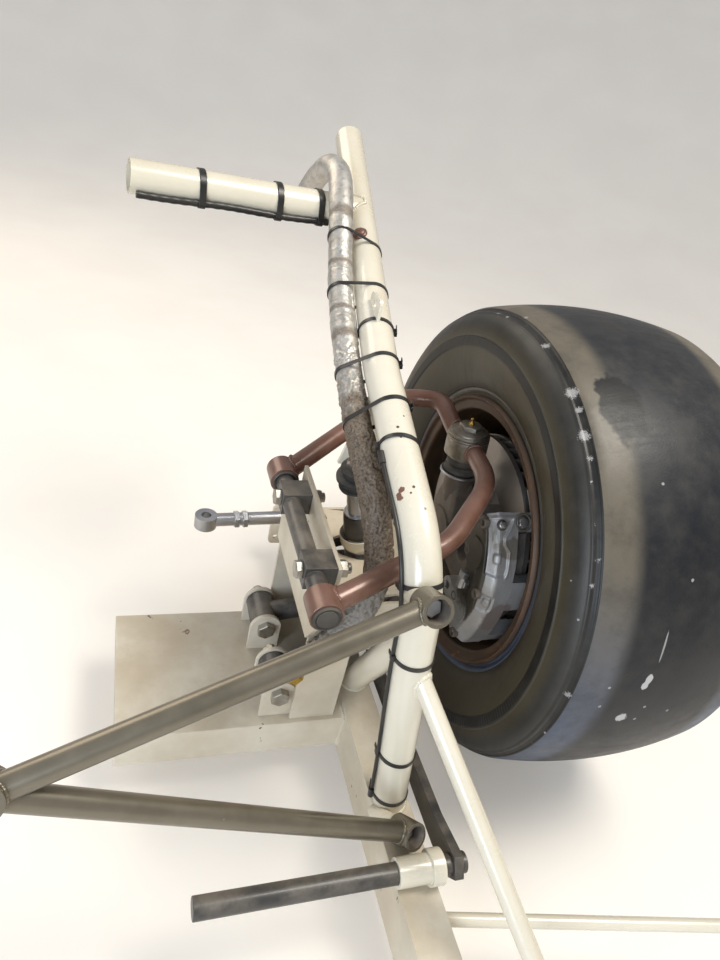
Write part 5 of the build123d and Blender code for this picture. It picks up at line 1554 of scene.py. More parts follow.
@dataclass
class SteeringKnuckle:
    """Upright, steering arm and tie rod."""

    casting_round: float = 0.002
    boss_drop: float = 0.038
    seat_ring: tuple = (0.0285, 0.0305)
    boss_height: float = 0.032
    pocket: tuple = (0.0158, 0.0174, 0.0178)

    def build(self, shop: Workshop) -> None:
        """Dress the castings and the tie rod, ring the boot's seat and line the upper nut's pocket."""
        shop.dress_all(Slot.CAST_STEEL, self.casting_round, "upright", "steering_arm", "caliper_bracket")
        shop.dress("tie_rod_stud", Slot.JOINT_STEEL, bevel=0.0005)
        shop.dress("tie_rod", Slot.BRIGHT_STEEL, bevel=0.0005)
        joint = FrontSuspension()
        kingpin = joint.kingpin()
        top = place(*joint.upper_ball) - kingpin * self.boss_drop
        inner, outer = self.seat_ring
        seat = np.array([(0.0212, -0.0035), (inner, -0.0035), (outer, -0.0015), (outer, 0.0),
                         (inner, 0.0012), (0.0275, 0.0), (0.0212, -0.001)])
        shop.add(turned(seat, top, kingpin, closed=True), "boot_seat_ring", "knuckle", Slot.BRIGHT_STEEL)
        inner, outer, depth = self.pocket
        liner = np.array([(inner, -0.0001), (outer, -0.0001), (outer, -depth), (inner, -depth)])
        shop.add(turned(liner, top - kingpin * self.boss_height, kingpin, 64, closed=True), "pocket_liner",
                 "knuckle", Slot.CAST_STEEL)


@dataclass
class DiscBrake:
    """Caliper, pads and rotor. Angles are degrees up from straight ahead, about the axle."""

    outer_radius: float = 0.176
    bridge_radius: float = 0.153
    face: float = -0.184
    inner: float = -0.128
    edge: float = 0.014
    window_back: float = -0.143
    windows: tuple = ((-22.0, -1.6), (13.6, 36.6))
    low: float = -29.6
    high: float = 44.6
    border_angles: tuple = (14.0, 17.0, 20.0, 28.0, 31.0, 34.0, 37.0, 40.0, 43.0)
    border_x: tuple = (-0.161, -0.1575, -0.1560, -0.1565, -0.1635, -0.1640, -0.1585, -0.1530, -0.1500)
    face_step: float = 0.0009
    bolt_spots: tuple = ((0.165, -25.5), (0.165, 6.0), (0.165, 40.5), (0.124, -12.0), (0.124, 25.0))
    ear: tuple = (40.6, -0.136)
    bleed_port: tuple = (39.5, -0.1675)

    def build(self, shop: Workshop) -> None:
        """Dress the brake, cut the windows back and cast the inboard half's face."""
        cutters = joined(self.block(self.bridge_radius, self.outer_radius + 0.003, self.window_back,
                                    self.inner + 0.0006, *window) for window in self.windows)
        shop.dress("caliper", Slot.CAST_ALUMINIUM, bevel=0.003, cutter=cutters)
        for name, surface, slot, crease in (
            ("caliper_casting", self.cast_skin(), Slot.CAST_ALUMINIUM, 70.0),
            ("caliper_bolts", self.bolts(), Slot.CAST_STEEL, 40.0),
            ("caliper_ear_cup", self.ear_cup(), Slot.BOOT_RUBBER, 40.0),
            ("bleed_screw", self.bleeder(), Slot.BRIGHT_STEEL, 50.0),
            ("bleed_cap", self.seal(), Slot.BOOT_RUBBER, 50.0),
        ):
            shop.add(surface, name, "knuckle", slot, crease=crease)
        shop.dress("brake_pads", Slot.PAD_LINING)
        shop.dress("brake_fitting", Slot.BRIGHT_STEEL, bevel=0.0005)
        shop.dress("brake_rotor", Slot.ROTOR_IRON)
        shop.dress("rotor_hat", Slot.TURNED_ALUMINIUM)

    @staticmethod
    def ahead(radius: Array | float, angle: Array | float, x: Array | float) -> Array:
        """Give places at a radius, an angle in degrees up from straight ahead, and a distance outboard."""
        radius, turn, x = np.broadcast_arrays(radius, np.radians(angle), x)
        return WHEEL_CENTRE + np.stack([x, -radius * np.cos(turn), radius * np.sin(turn)], axis=-1)

    def block(self, inside: float, outside: float, start: float, end: float, low: float,
              high: float) -> Surface:
        """Sweep a rectangle of radius and x about the axle, from one angle up to another.

        Args:
            inside: the smaller radius.
            outside: the larger radius.
            start: the first x.
            end: the second x.
            low: the first angle, in degrees.
            high: the last angle.

        Returns:
            The block, closed.
        """
        radius, x = np.array([inside, outside, outside, inside]), np.array([start, start, end, end])
        middle = self.ahead(radius.mean(), np.array([low, high]), x.mean())
        return Surface.capped(self.ahead(radius, np.linspace(low, high, 25)[:, None], x), *middle)

    def profile(self) -> Array:
        """Give the inboard half's section as rows of (radius, x), from its face round to the windows."""
        corners = np.array([(0.146, self.face), (self.outer_radius - self.edge, self.face),
                            (self.outer_radius, self.face + self.edge),
                            (self.outer_radius, self.window_back - 0.0012)])
        return rounded_route(corners, (0.008, 0.008), self.face_step)

    def relief(self, x: Array, angle: Array) -> Array:
        """Give the casting's height above the plain half, in metres.

        A channel runs down between the bright edge and the frame's winding border, and a pocket lies
        below it, each with a rounded block. All are smooth windows over x, the arc and the angle.

        Args:
            x: distance outboard of the wheel's centre.
            angle: degrees up from straight ahead.

        Returns:
            The height at each of these places.
        """
        arc = np.radians(angle) * self.outer_radius
        border = np.interp(angle, self.border_angles, self.border_x)
        channel = smooth_step(-0.1815, -0.1802, x) * (1 - smooth_step(border - 0.0012, border + 0.0006, x))
        channel *= smooth_step(16.2, 17.2, angle - 90 * np.abs(x + 0.169) ** 1.1)
        channel *= 1 - smooth_step(41.5, 42.5, angle)
        pocket = self.oblong(x + 0.1735, arc - 0.0077, 0.0088, 0.0145, 0.0016)
        height = 0.0028 - 0.0026 * np.maximum(channel, pocket)
        edge = np.exp(-((x - border - 0.0016) / 0.0014) ** 2) * smooth_step(15, 17, angle)
        height += 0.0007 * edge + 0.0006 * np.exp(-((x + 0.1822) / 0.0010) ** 2)
        height += 0.0024 * self.oblong(x + 0.1705, arc - 0.0765, 0.0050, 0.0078, 0.0020)
        height += 0.0026 * self.oblong(x + 0.1722, arc - 0.0095, 0.0046, 0.0072, 0.0014)
        height += 0.0008 * self.oblong(x + 0.1740, arc - 0.1050, 0.0035, 0.0090, 0.0020)
        return height + 0.00012 * sine_noise(np.stack([x, arc, 0 * x], axis=-1), 0.012, 12)

    @staticmethod
    def oblong(across: Array, along: Array, half_width: float, half_length: float, ease: float) -> Array:
        """Mark an oblong: 1 where (across/w)^4 + (along/l)^4 is under 1, eased at its rim."""
        reach = ((across / half_width) ** 4 + (along / half_length) ** 4) ** 0.25
        return 1 - smooth_step(1 - ease / half_width, 1.0, reach)

    def cast_skin(self) -> Surface:
        """Cast the face as a thin closed shell: the section's points pushed out by the relief."""
        profile = self.profile()
        slope = unit(np.gradient(profile, axis=0))
        normal = np.stack([-slope[:, 1], slope[:, 0]], axis=1)
        normal *= np.sign(normal[len(normal) // 2, 0])
        angles = np.arange(self.low, self.high, 0.42)[:, None]
        lift = self.relief(profile[None, :, 1] * np.ones_like(angles), angles * np.ones(len(profile)))
        lift *= smooth_step(self.low, self.low + 1.5, angles)
        lift *= 1 - smooth_step(self.high - 2.0, self.high - 0.5, angles)
        lift *= smooth_step(0, 0.003, np.arange(len(profile)) * self.face_step)
        out = profile + normal * lift[..., None]
        back = np.broadcast_to(profile - normal * 0.003, out.shape)[:, ::-1]
        section = np.concatenate([out, back], axis=1)
        grid = self.ahead(section[..., 0], angles, section[..., 1])
        return Surface.capped(grid, grid[0].mean(axis=0), grid[-1].mean(axis=0))

    def on_top(self, spot: tuple[float, float], lift: float) -> tuple[Array, Array]:
        """Give a place above the caliper's outside, at an angle and an x, and the way out from there."""
        angle, x = spot
        return (self.ahead(self.outer_radius + lift, angle, x),
                unit(self.ahead(1.0, angle, 0.0) - WHEEL_CENTRE))

    def bolts(self) -> Surface:
        """Turn the bridges' bolt heads, each with a round recess, on the inboard face."""
        head = [(0.0, 1.2), (3.6, 1.2), (4.2, 4.8), (6.6, 5.4), (7.2, 4.6), (7.2, -2.0), (0.0, -2.0)]
        return joined(lathe(head, self.ahead(radius, angle, self.face - 0.0002), -AXLE, 40)
                      for radius, angle in self.bolt_spots)

    def ear_cup(self) -> Surface:
        """Turn the dark cup round the ear's bolt."""
        return lathe([(0.0, 0.6), (9.2, 0.6), (10.0, 3.0), (11.6, 3.6), (12.6, 2.8), (12.8, -4.0),
                      (0.0, -4.0)], *self.on_top(self.ear, 0.0), 56)

    def bleeder(self) -> Surface:
        """Turn the bleed screw that stands on the channel's upper end, and the nut in the ear's cup."""
        stem = lathe([(0.0, 0.0), (4.6, 0.0), (4.6, 2.4), (3.2, 3.2), (3.2, 6.0), (4.2, 7.0), (3.4, 9.0),
                      (0.0, 9.4)], *self.on_top(self.bleed_port, 0.0004), 32)
        return stem + hex_head(*self.on_top(self.ear, 0.0006), 0.013, 0.0042)

    def seal(self) -> Surface:
        """Turn the black seal under the bleed screw's head."""
        return lathe([(0.0, 2.6), (5.8, 2.6), (7.4, 1.4), (7.4, 0.2), (0.0, 0.0)],
                     *self.on_top(self.bleed_port, 0.0002), 32)


@dataclass
class SlickTyre:
    """A broad slick with a moulded rib on its sidewalls and grit picked up on its shoulder."""

    radius: float = 0.351
    crown: float = 0.014
    half_tread: float = 0.132
    half_section: float = 0.159
    bulge_radius: float = 0.291
    heel: float = 0.1268
    bead_radius: float = 0.1904
    flange_seat: float = 0.2095
    flare: float = 0.019
    shoulder_flare: float = 0.007
    wall: float = 0.009
    segments: int = 280
    inset: float = 0.0016
    inside: tuple = ((0.105, 0.1904), (0.105, 0.200), (0.132, 0.232), (0.150, 0.291), (0.144, 0.313),
                     (0.126, 0.324), (0.0, 0.338))
    ribs: tuple = ((0.2795, 0.2930, 0.0013, 0.0012), (0.2946, 0.2956, 0.0006, 0.0004),
                   (0.2120, 0.2150, 0.0012, 0.0010), (0.2190, 0.2200, 0.0005, 0.0005),
                   (0.3285, 0.3300, 0.0007, 0.0006), (0.3318, 0.3352, -0.0012, 0.0007))
    # Painted reflection on the tread: colours that stand in for lamp light, cool lower down and warm higher
    # up.
    painted_cool_sheen: Color = (0.085, 0.105, 0.150)
    painted_warm_sheen: Color = (0.135, 0.115, 0.085)
    mottle: Color = (0.085, 0.076, 0.060)
    dust: Color = (0.20, 0.18, 0.15)
    cut_color: Color = (0.11, 0.10, 0.085)

    def side(self) -> Array:
        """Give one outer half of the section, from the bead's heel to the crown's middle, as (x, radius)."""
        shoulder_radius = self.radius - self.crown
        flare_radius = self.flange_seat + 0.35 * (self.bulge_radius - self.flange_seat)
        outer_mid = self.bulge_radius + 0.6 * (shoulder_radius - self.bulge_radius)
        bead = np.array([[self.heel, self.bead_radius], [self.heel, self.flange_seat - 0.004]])
        wall = arc_through((self.heel, self.flange_seat), (self.heel + self.flare, flare_radius),
                           (self.half_section, self.bulge_radius), 90)
        shoulder = arc_through((self.half_section, self.bulge_radius),
                               (self.half_section - self.shoulder_flare, outer_mid),
                               (self.half_tread, shoulder_radius), 56)
        crown = arc_through((self.half_tread, shoulder_radius), (0, self.radius),
                            (-self.half_tread, shoulder_radius), 41)[:21]
        return np.concatenate([bead, wall, shoulder[1:], crown[1:]])

    def moulded(self, side: Array) -> Array:
        """Raise the ribs and cut the grooves, along the section's own normals.

        Each rib's height is its depth times a smooth window over the radius.

        Args:
            side: the plain section, as (x, radius).

        Returns:
            The section with its ribs.
        """
        x, radius = side.T
        height = np.full(len(side), -self.inset)
        for low, high, depth, ease in self.ribs:
            past = smooth_step(high, high + ease, radius)
            height += depth * smooth_step(low - ease, low, radius) * (1 - past)
        height = np.where(x > self.half_tread - 0.002, height, -0.0002)
        height[:3] = 0
        slope = unit(np.gradient(side, axis=0))
        return side + np.stack([slope[:, 1], -slope[:, 0]], axis=1) * height[:, None]

    def surface(self) -> Surface:
        """Turn the section about the axle, with u the turn and v the place across the section.

        On the sides v is the radius, and on the tread it goes on by the distance from the tread's edge.
        """
        side = self.moulded(self.side())
        across = np.where(side[:, 0] > self.half_tread, side[:, 1],
                          self.radius - self.crown + self.half_tread - side[:, 0])
        inner = np.array(self.inside)
        inner = np.concatenate([inner, inner[-2::-1] * [-1, 1]])
        section = np.concatenate([side * [-1, 1], side[-2::-1], inner])
        across = np.concatenate([across, across[-2::-1], np.full(len(inner), 0.190)])
        tyre = turned(section[:, ::-1], WHEEL_CENTRE, AXLE, self.segments, closed=True)
        turn = np.tile(np.arange(self.segments) / self.segments, len(section))
        tyre.uv = np.stack([turn, np.repeat(across, self.segments)], axis=1)
        return tyre

    def build(self, shop: Workshop) -> None:
        """Make the tyre."""
        shop.add(self.surface(), "tyre_moulded", "wheel", Slot.TYRE_RUBBER, replaces=("tyre",), crease=60.0,
                 material=self.material())

    def material(self) -> bpy.types.Material:
        """Make rubber, dusty and olive on the sidewall and dark in the grooves, with a painted sheen on the
        tread.
        """
        material, graph = new_material("slick rubber")
        vector = graph.use("TexCoord", out="Object")
        turn = graph.use("SeparateXYZ", {0: graph.use("TexCoord", out="UV")}, out="X")
        across = turn.node.outputs["Y"]
        up = graph.use("SeparateXYZ", {0: vector}, out="Z")
        color = self.ramp(graph, across)
        # Painted sheen: a band of tread past the shoulder is coloured light, warm above and cool below,
        # broken up by noise, standing in for reflected light.
        painted_sheen_band = graph.times(graph.band(across, 0.3355, 0.3375),
                               graph.rest(graph.band(across, 0.366, 0.392)))
        painted_sheen = graph.mix(graph.band(up, 0.16, 0.46), rgba(self.painted_cool_sheen), rgba(self.painted_warm_sheen))
        sheen_breakup = graph.band(graph.noise(vector, 22.0, 6.0, 0.7), 0.25, 0.60)
        share = graph.times(painted_sheen_band, graph.plus(0.55, graph.times(sheen_breakup, 0.45)))
        color = graph.mix(share, color, painted_sheen)
        mottle = graph.band(graph.noise(vector, 34.0, 7.0, 0.7), 0.35, 0.8)
        color = graph.mix(graph.times(mottle, 0.22), color, rgba(self.mottle))
        dusty = graph.group(Effect.DUST, vector=vector, amount=0.4, scale=30.0)
        color = graph.mix(graph.times(dusty, 0.18), color, rgba(self.dust))
        on_rib = graph.times(graph.band(across, 0.2793, 0.2800),
                             graph.rest(graph.band(across, 0.2925, 0.2932)))
        cuts = graph.times(graph.calc("SINE", graph.times(turn, FULL_TURN * 260)), on_rib)
        patchy = graph.band(graph.noise(vector, 9.0, 3.0), 0.36, 0.62)
        low_down = graph.calc("SUBTRACT", 1.1, graph.band(up, 0.02, 0.30))
        cuts = graph.times(cuts, graph.times(patchy, low_down))
        color = graph.mix(graph.times(graph.band(cuts, 0.1, 0.9), 0.5), color, rgba(self.cut_color))
        for mark in self.marks():
            color = mark.lay(graph, vector, color)
        grain = graph.group(Effect.GRAIN, vector=vector, scale=420.0, lumps=0.45)
        height = graph.plus(grain, graph.times(cuts, 0.5))
        normal = graph.use("Bump", {"Strength": 0.22, "Distance": 0.0012, "Height": height})
        worn = graph.group(Effect.STREAKS, vector=vector, scale=120.0, amount=0.5)
        rough = graph.plus(0.36, graph.times(graph.plus(mottle, worn), 0.13))
        near_bead = graph.rest(graph.band(across, 0.208, 0.230))
        rough = graph.plus(rough, graph.times(near_bead, 0.4), clamp=True)
        graph.shade({"Base Color": color, "Roughness": rough, "Normal": normal, "Specular IOR Level": 0.32})
        return material

    @staticmethod
    def marks() -> tuple[Mark, ...]:
        """Give the tyre's dark patch, pick-up, fuzz, torn patches and scuffs, each with its half size."""
        fuzz = ((-141, 87, 320, 5), (-142, 59, 325, 4), (-130, 33, 336, 4), (-139, 14, 333, 4),
                (-139, -44, 330, 7), (-139, -128, 307, 10), (-138, -151, 297, 6), (-140, -180, 279, 9),
                (-139, -204, 263, 5), (-141, -224, 244, 3), (-140, -258, 209, 3), (-138, -283, 178, 5),
                (-141, -295, 151, 4), (-137, -334, 12, 6), (-134, -329, -66, 3), (-136, -320, -99, 3))
        specks = ((-57, -239, 254), (-92, -343, 32), (-92, -344, 0), (-29, -350, -1), (12, -351, -13),
                  (-19, -308, 168), (-156, -276, 142), (-31, -349, -25), (-148, -305, 109))
        pale, bright = (0.30, 0.29, 0.28), (0.48, 0.47, 0.46)
        return (Mark((-86, -158, 306), (30.0, 74.0, 44.0), (0.004, 0.004, 0.004), 1.2, 24.0),
                *(Mark((x, y, z), (0.8 * size,) * 3, pale, 2.4, 620.0) for x, y, z, size in fuzz),
                *(Mark(spot, (2.2, 2.2, 2.2), pale, 0.8, 500.0) for spot in specks),
                Mark((-44, -347, 46), (5.0, 6.0, 9.0), bright, 0.5, 200.0),
                Mark((-46, -347, 36), (5.0, 6.0, 7.0), bright, 0.5, 200.0),
                Mark((-53, -348, -21), (8.0, 6.0, 8.0), bright, 1.1, 260.0),
                Mark((-40, -336, 90), (1.4, 12.0, 26.0), pale, 0.6, 300.0))

    @staticmethod
    def bands() -> tuple[tuple[float, Color], ...]:
        """Give the rubber's colour at places across the section, in metres."""
        olive, dark, grey = (0.056, 0.045, 0.025), (0.006, 0.006, 0.006), (0.022, 0.021, 0.019)
        groove = (0.010, 0.010, 0.010)
        return ((0.190, (0.02, 0.017, 0.012)), (0.212, (0.034, 0.028, 0.018)), (0.235, olive),
                (0.277, olive), (0.2797, dark), (0.2928, dark), (0.2950, (0.080, 0.071, 0.050)),
                (0.2975, olive), (0.316, grey), (0.326, (0.040, 0.038, 0.034)), (0.3312, groove),
                (0.3355, groove), (0.342, (0.022, 0.022, 0.022)), (0.372, (0.019, 0.020, 0.022)),
                (0.400, (0.013, 0.014, 0.017)), (0.470, (0.011, 0.012, 0.015)))

    def ramp(self, graph: Graph, across: Socket) -> Socket:
        """Blend the bands' colours over the place across the section.

        Args:
            graph: the material's graph.
            across: the place across the section, in metres.

        Returns:
            The colour.
        """
        stops = self.bands()
        start, end = stops[0][0], stops[-1][0]
        where = graph.use("MapRange", {"Value": across, "From Min": start, "From Max": end})
        color = graph.use("ValToRGB", {"Fac": where})
        elements = color.node.color_ramp.elements
        while len(elements) < len(stops):
            elements.new(0.5)
        for element, (spot, shade) in zip(elements, stops):
            element.position, element.color = (spot - start) / (end - start), rgba(shade)
        return color


@dataclass
class RollingWheel:
    """Hub, rolled and welded steel wheel, and its nuts."""

    rim_half_width: float = 0.127
    flange_radius: float = 0.208
    bead_radius: float = 0.1902
    lip_width: float = 0.011
    wall: float = 0.004
    drop_depth: float = 0.021
    drop_start: float = 0.030
    drop_end: float = 0.074
    bead_width: float = 0.022
    segments: int = 224

    def barrel_corners(self) -> Array:
        """Give the barrel's (radius, x) corners: outside from inboard to outboard, then back inside."""
        half, lip, wall = self.rim_half_width, self.rim_half_width + self.lip_width, self.wall
        flange, bead = self.flange_radius, self.bead_radius
        mid, drop, seat = bead - 0.0015, bead - self.drop_depth, half - self.bead_width - 0.004
        start, end = self.drop_start, self.drop_end
        outer = [(-lip, flange - 0.004), (-lip + 0.005, flange), (-half - 0.003, flange),
                 (-half, flange - 0.005), (-half, bead), (-seat, bead), (-seat + 0.004, mid),
                 (start - 0.012, mid), (start, drop), (end, drop), (seat - 0.004, mid), (seat, bead),
                 (half, bead), (half, flange - 0.005), (half + 0.003, flange), (lip - 0.005, flange),
                 (lip, flange - 0.004)]
        inner = [(lip - 0.003, flange - 0.007), (half + wall, flange - 0.008), (half + wall, bead - wall),
                 (seat - 0.002, bead - wall), (seat - 0.006, mid - wall), (end - 0.002, drop - wall),
                 (start + 0.002, drop - wall), (start - 0.010, mid - wall), (-seat + 0.006, mid - wall),
                 (-seat + 0.002, bead - wall), (-half - wall, bead - wall), (-half - wall, flange - 0.008),
                 (-lip + 0.003, flange - 0.007)]
        return np.array(outer + inner)[:, ::-1]

    def build(self, shop: Workshop) -> None:
        """Make the barrel, keep the pressed disc of the CAD node, and dress the rest."""
        shop.dress_all(Slot.TURNED_ALUMINIUM, 0.0006, "hub", "grease_cap")
        outline = eased_outline(self.barrel_corners(), 0.004, 0.0024)
        shop.add(turned(outline, WHEEL_CENTRE, AXLE, self.segments, closed=True), "rolled_barrel", "wheel",
                 Slot.WHEEL_PAINT, replaces=("wheel_rim",), crease=50.0)
        shop.dress("wheel_rim", Slot.WHEEL_PAINT, bevel=0.001, keep=self.on_disc)
        shop.dress("lug_nuts", Slot.BOLT_STEEL, bevel=0.0005)

    def on_disc(self, points: Array) -> Array:
        """Tell which points belong to the pressed disc, inside the barrel's drop centre."""
        radius = np.hypot(*(points - WHEEL_CENTRE)[:, 1:].T)
        return radius < self.bead_radius - self.drop_depth - self.wall + 0.0003


@dataclass
class SleevedHose:
    """The hose in its foil sleeve: smooth above, crumpled below, and tied to the main tube."""

    points: tuple = ((-364, 418, 360), (-356, 392, 398), (-352, 340, 430), (-352, 272, 432),
                     (-358, 212, 394), (-365, 152, 344), (-371, 95, 308), (-374, 30, 272),
                     (-375, -30, 240), (-372, -84, 208), (-362, -128, 172), (-352, -156, 130),
                     (-344, -178, 84), (-349, -185, 38), (-364, -185, -6), (-387, -183, -44),
                     (-411, -181, -74))
    radius: float = 0.0164
    tie_radius: float = 0.0171
    around: int = 120
    spacing: float = 0.0012
    flap_way: tuple = (0.86, -0.47, 0.18)
    seams: tuple = ((0.262, 0.0006), (0.347, 0.0007), (0.424, 0.0006), (0.545, 0.0008))
    tied: tuple = ((0.577, 80.0), (0.645, 76.0), (0.772, 175.0), (0.862, 175.0))

    def route(self, spacing: float) -> Array:
        """Give the hose's centre line, with the widest bends that its points hold."""
        corners = places(self.points)
        return resample(rounded_route(corners, widest_bends(corners)), spacing)

    def swell(self, along: Array, facing: Array, points: Array) -> Array:
        """Give the sleeve's height over its radius.

        Windows over the distance along the hose pick the smooth bulb, the overlaps, the flap, the
        crumpled foil and the folded end, and the noise is sampled at the points themselves.

        Args:
            along: distance along the hose.
            facing: cosine of the angle to the flap's way.
            points: places on the plain sleeve.

        Returns:
            The height at each of these places, in metres.
        """
        height = np.full(along.shape, 0.0002) + 0.0007 * (1 - smooth_step(0.215, 0.262, along))
        for seam, rise in self.seams:
            past = along - seam - 0.0016 * sine_noise(points, 0.011, 21)
            height += rise * smooth_step(0, 0.0008, past) * (1 - smooth_step(0.012, 0.045, past))
        flap = smooth_step(0.372, 0.378, along) * (1 - smooth_step(0.462, 0.468, along))
        height += 0.0010 * flap * smooth_step(0.900, 0.915, facing) * (1 - smooth_step(0.985, 0.995, facing))
        height -= 0.0007 * flap * smooth_step(0.86, 0.885, facing) * (1 - smooth_step(0.885, 0.91, facing))
        crumple = smooth_step(0.455, 0.50, along)
        dents = np.abs(sine_noise(points, 0.017, 3)) + 0.5 * np.abs(sine_noise(points, 0.0075, 4))
        height += crumple * (0.0011 - 0.0024 * dents)
        ripples = np.abs(sine_noise(points, 0.021, 8)) * smooth_step(0.24, 0.30, along)
        height -= 0.0004 * (1 - crumple) * ripples
        folds = np.sin(along * 760 + 2.2 * sine_noise(points, 0.03, 6))
        height += 0.0006 * folds * smooth_step(0.79, 0.82, along)
        height += 0.0016 * smooth_step(0.56, 0.64, along) * (1 - smooth_step(0.80, 0.86, along))
        ties = 0.0
        for spot in self.tie_spots():
            ties = np.maximum(ties, 1 - smooth_step(0.003, 0.010, np.abs(along - spot)))
        height = height * (1 - ties) + ties * (self.tie_radius - self.radius - 0.0002)
        return np.clip(height, -0.0022, 0.0018)

    def crossing(self, distance: float) -> tuple[Array, Array, Array, Array, Array, float]:
        """Find where the hose passes the plane that is square to the main tube.

        Args:
            distance: how far along the tube the plane is.

        Returns:
            The tube's point, tangent and section axes, the hose's middle on those two axes, and its
            distance along the hose.
        """
        spot, along, first, second = at_distance(TubeFrame().route(), distance)
        step = 0.0005
        away = self.route(step) - spot
        index = int(np.argmin(np.abs(away @ along) + 10 * (np.linalg.norm(away, axis=1) > 0.1)))
        hose = np.array([away[index] @ first, away[index] @ second])
        return spot, along, first, second, hose, index * step

    def tie_spots(self) -> list[float]:
        """Give each tie's distance along the hose."""
        return [self.crossing(distance)[-1] for distance, _ in self.tied]

    def sleeve(self) -> Surface:
        """Carry the swelling outline along the route: radius + swell in each direction."""
        path = self.route(self.spacing)
        first, second = section_axes(path)
        circle = ring(1.0, self.around)
        spokes = spread(first[:, None], second[:, None], circle)
        along = np.broadcast_to((np.arange(len(path)) * self.spacing)[:, None], spokes.shape[:2])
        facing = spokes @ unit(np.array(self.flap_way))
        reach = self.radius + self.swell(along, facing, path[:, None] + spokes * self.radius)
        ends = smooth_step(0, 0.004, np.minimum(along, along[-1:] - along))
        return carried(path, circle * (reach * (0.93 + 0.07 * ends))[..., None])

    def tie(self, distance: float, head_angle: float) -> Surface:
        """Make a tie round the tube and the hose, with its head on the tube.

        Args:
            distance: how far along the tube it is.
            head_angle: where its head is, in degrees about the tube.

        Returns:
            The tie.
        """
        spot, along, first, second, hose, _ = self.crossing(distance)
        half = TubeFrame().tube_outer / 2
        loop = hull_loop(spot, first, second, half + 0.0001, hose, self.tie_radius)
        out = way_at(first, second, head_angle)
        return Tie().closed(loop, along, spot + out * half, out)

    def build(self, shop: Workshop) -> None:
        """Make the sleeve and its ties, and dress the fittings."""
        shop.add(self.sleeve(), "foil_sleeve", "frame", Slot.HEAT_SLEEVE, replaces=("sleeved_hose",),
                 crease=80.0)
        shop.add(joined(self.tie(*row) for row in self.tied), "hose_straps", "frame", Slot.TIE_PLASTIC,
                 replaces=("hose_ties",))
        shop.dress("hose_fittings", Slot.GOLD_ALUMINIUM)


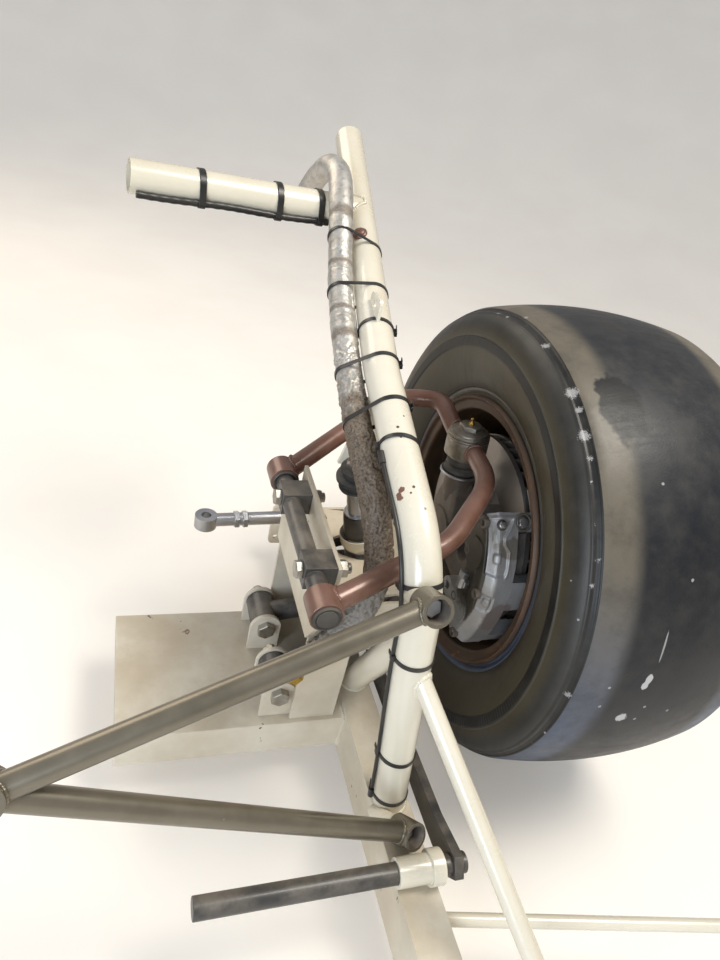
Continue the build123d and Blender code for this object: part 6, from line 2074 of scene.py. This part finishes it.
@dataclass
class Studio:
    """A pale floor and backdrop, soft lamps and the photographer's camera."""

    camera_place: tuple = (-0.3512, -1.1000, 0.8613)
    camera_right: tuple = (0.943, -0.260, 0.208)
    camera_forward: tuple = (0.332, 0.779, -0.532)
    lens: float = 26.3
    sensor: float = 36.0
    floor_height: float = -0.1014
    floor_flat: float = 2.6
    floor_reach: float = 9.0
    floor_rise: float = 5.5
    floor_color: Color = (0.86, 0.81, 0.74)
    world_color: Color = (0.84, 0.90, 1.0)
    world_strength: float = 0.42
    lamps: tuple = (
        ("roof lamp", (0.9, -0.9, 2.7), (0.1, -0.3, 0.2), 1.1, 60.0, (1.0, 0.95, 0.86)),
        ("door lamp", (-1.9, -2.6, 0.9), (0.2, -0.3, 0.1), 1.5, 58.0, (0.74, 0.85, 1.0)),
        ("warm fill", (-1.4, 1.8, 1.9), (0.0, -0.2, 0.3), 1.6, 26.0, (1.0, 0.88, 0.72)),
    )

    def build(self) -> None:
        """Set the stage, the light and the camera."""
        self.set_floor()
        self.set_world()
        for name, spot, target, size, power, color in self.lamps:
            self.set_lamp(name, np.array(spot), np.array(target), size, power, color)
        self.set_camera()
        bpy.context.scene.view_settings.view_transform = "Standard"

    def set_floor(self) -> None:
        """Lay the pale floor, which looks its own colour to the camera and still takes shadows.

        Its height is the rise times the square of the share of the way from the flat part's edge.
        """
        reach = np.linspace(0, self.floor_reach, 60)[:, None, None]
        beyond = np.maximum((reach - self.floor_flat) / (self.floor_reach - self.floor_flat), 0)
        flat = reach * ring(1.0, 96)
        height = np.broadcast_to(self.floor_rise * beyond ** 2 + self.floor_height, flat[..., :1].shape)
        bowl = Surface.from_grid(np.concatenate([flat, height], axis=-1), wrap_v=True)
        mesh = Workshop.mesh_of(bowl, "floor")
        mesh.shade_smooth()
        material, graph = new_material("pale floor")
        mottle = graph.band(graph.noise(graph.use("TexCoord", out="Object"), 3.0, 6.0), 0.2, 0.8)
        color = graph.mix(mottle, rgba(self.floor_color), rgba(tuple(c * 0.94 for c in self.floor_color)))
        seen = graph.times(graph.use("LightPath", out="Is Camera Ray"), 0.24)
        graph.shade({"Base Color": color, "Roughness": 0.8, "Emission Color": color,
                     "Emission Strength": seen})
        mesh.materials.append(material)
        into_scene("floor", mesh)

    def set_world(self) -> None:
        """Light the room evenly, a little cool."""
        world = bpy.data.worlds.new("room")
        world.use_nodes = True
        bpy.context.scene.world = world
        background = world.node_tree.nodes["Background"]
        background.inputs["Color"].default_value = rgba(self.world_color)
        background.inputs["Strength"].default_value = self.world_strength

    def set_lamp(self, name: str, spot: Array, target: Array, size: float, power: float,
                 color: Color) -> None:
        """Hang one soft lamp that looks at a target.

        Args:
            name: the lamp's name.
            spot: where it hangs.
            target: what it looks at.
            size: the side of its square.
            power: its power in watts.
            color: its light's colour.
        """
        light = bpy.data.lights.new(name, "AREA")
        light.energy, light.size, light.color = power, size, color
        self.pose(into_scene(name, light), spot, unit(spot - target), np.cross(UP, spot - target))

    def set_camera(self) -> None:
        """Stand the camera where the photographer stood."""
        data = bpy.data.cameras.new("camera")
        data.sensor_width, data.lens = self.sensor, self.lens
        data.clip_start, data.clip_end = 0.05, 60.0
        bpy.context.scene.camera = camera = into_scene("camera", data)
        self.pose(camera, np.array(self.camera_place), -unit(np.array(self.camera_forward)),
                  np.array(self.camera_right))

    @staticmethod
    def pose(thing: bpy.types.Object, spot: Array, back: Array, aside: Array) -> None:
        """Set an object's place, the way that its back faces, and its right side, squared off to that."""
        right = unit(aside - (aside @ back) * back)
        matrix = np.eye(4)
        matrix[:3] = np.stack([right, np.cross(back, right), back, spot], axis=1)
        thing.matrix_world = Matrix(matrix)


def main() -> None:
    """Build every sub-assembly in order, then the studio, and log how many pieces were made."""
    logging.basicConfig(level=logging.INFO, format="%(name)s: %(message)s")
    shop = Workshop()
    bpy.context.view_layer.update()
    for assembly in (TubeFrame(), EngineBayBrace(), FrontSuspension(), SteeringKnuckle(), DiscBrake(),
                     RollingWheel(), SlickTyre(), SleevedHose()):
        assembly.build(shop)
    Studio().build()
    log.info("%d pieces", len(shop.done))


if __name__ == "__main__":
    main()
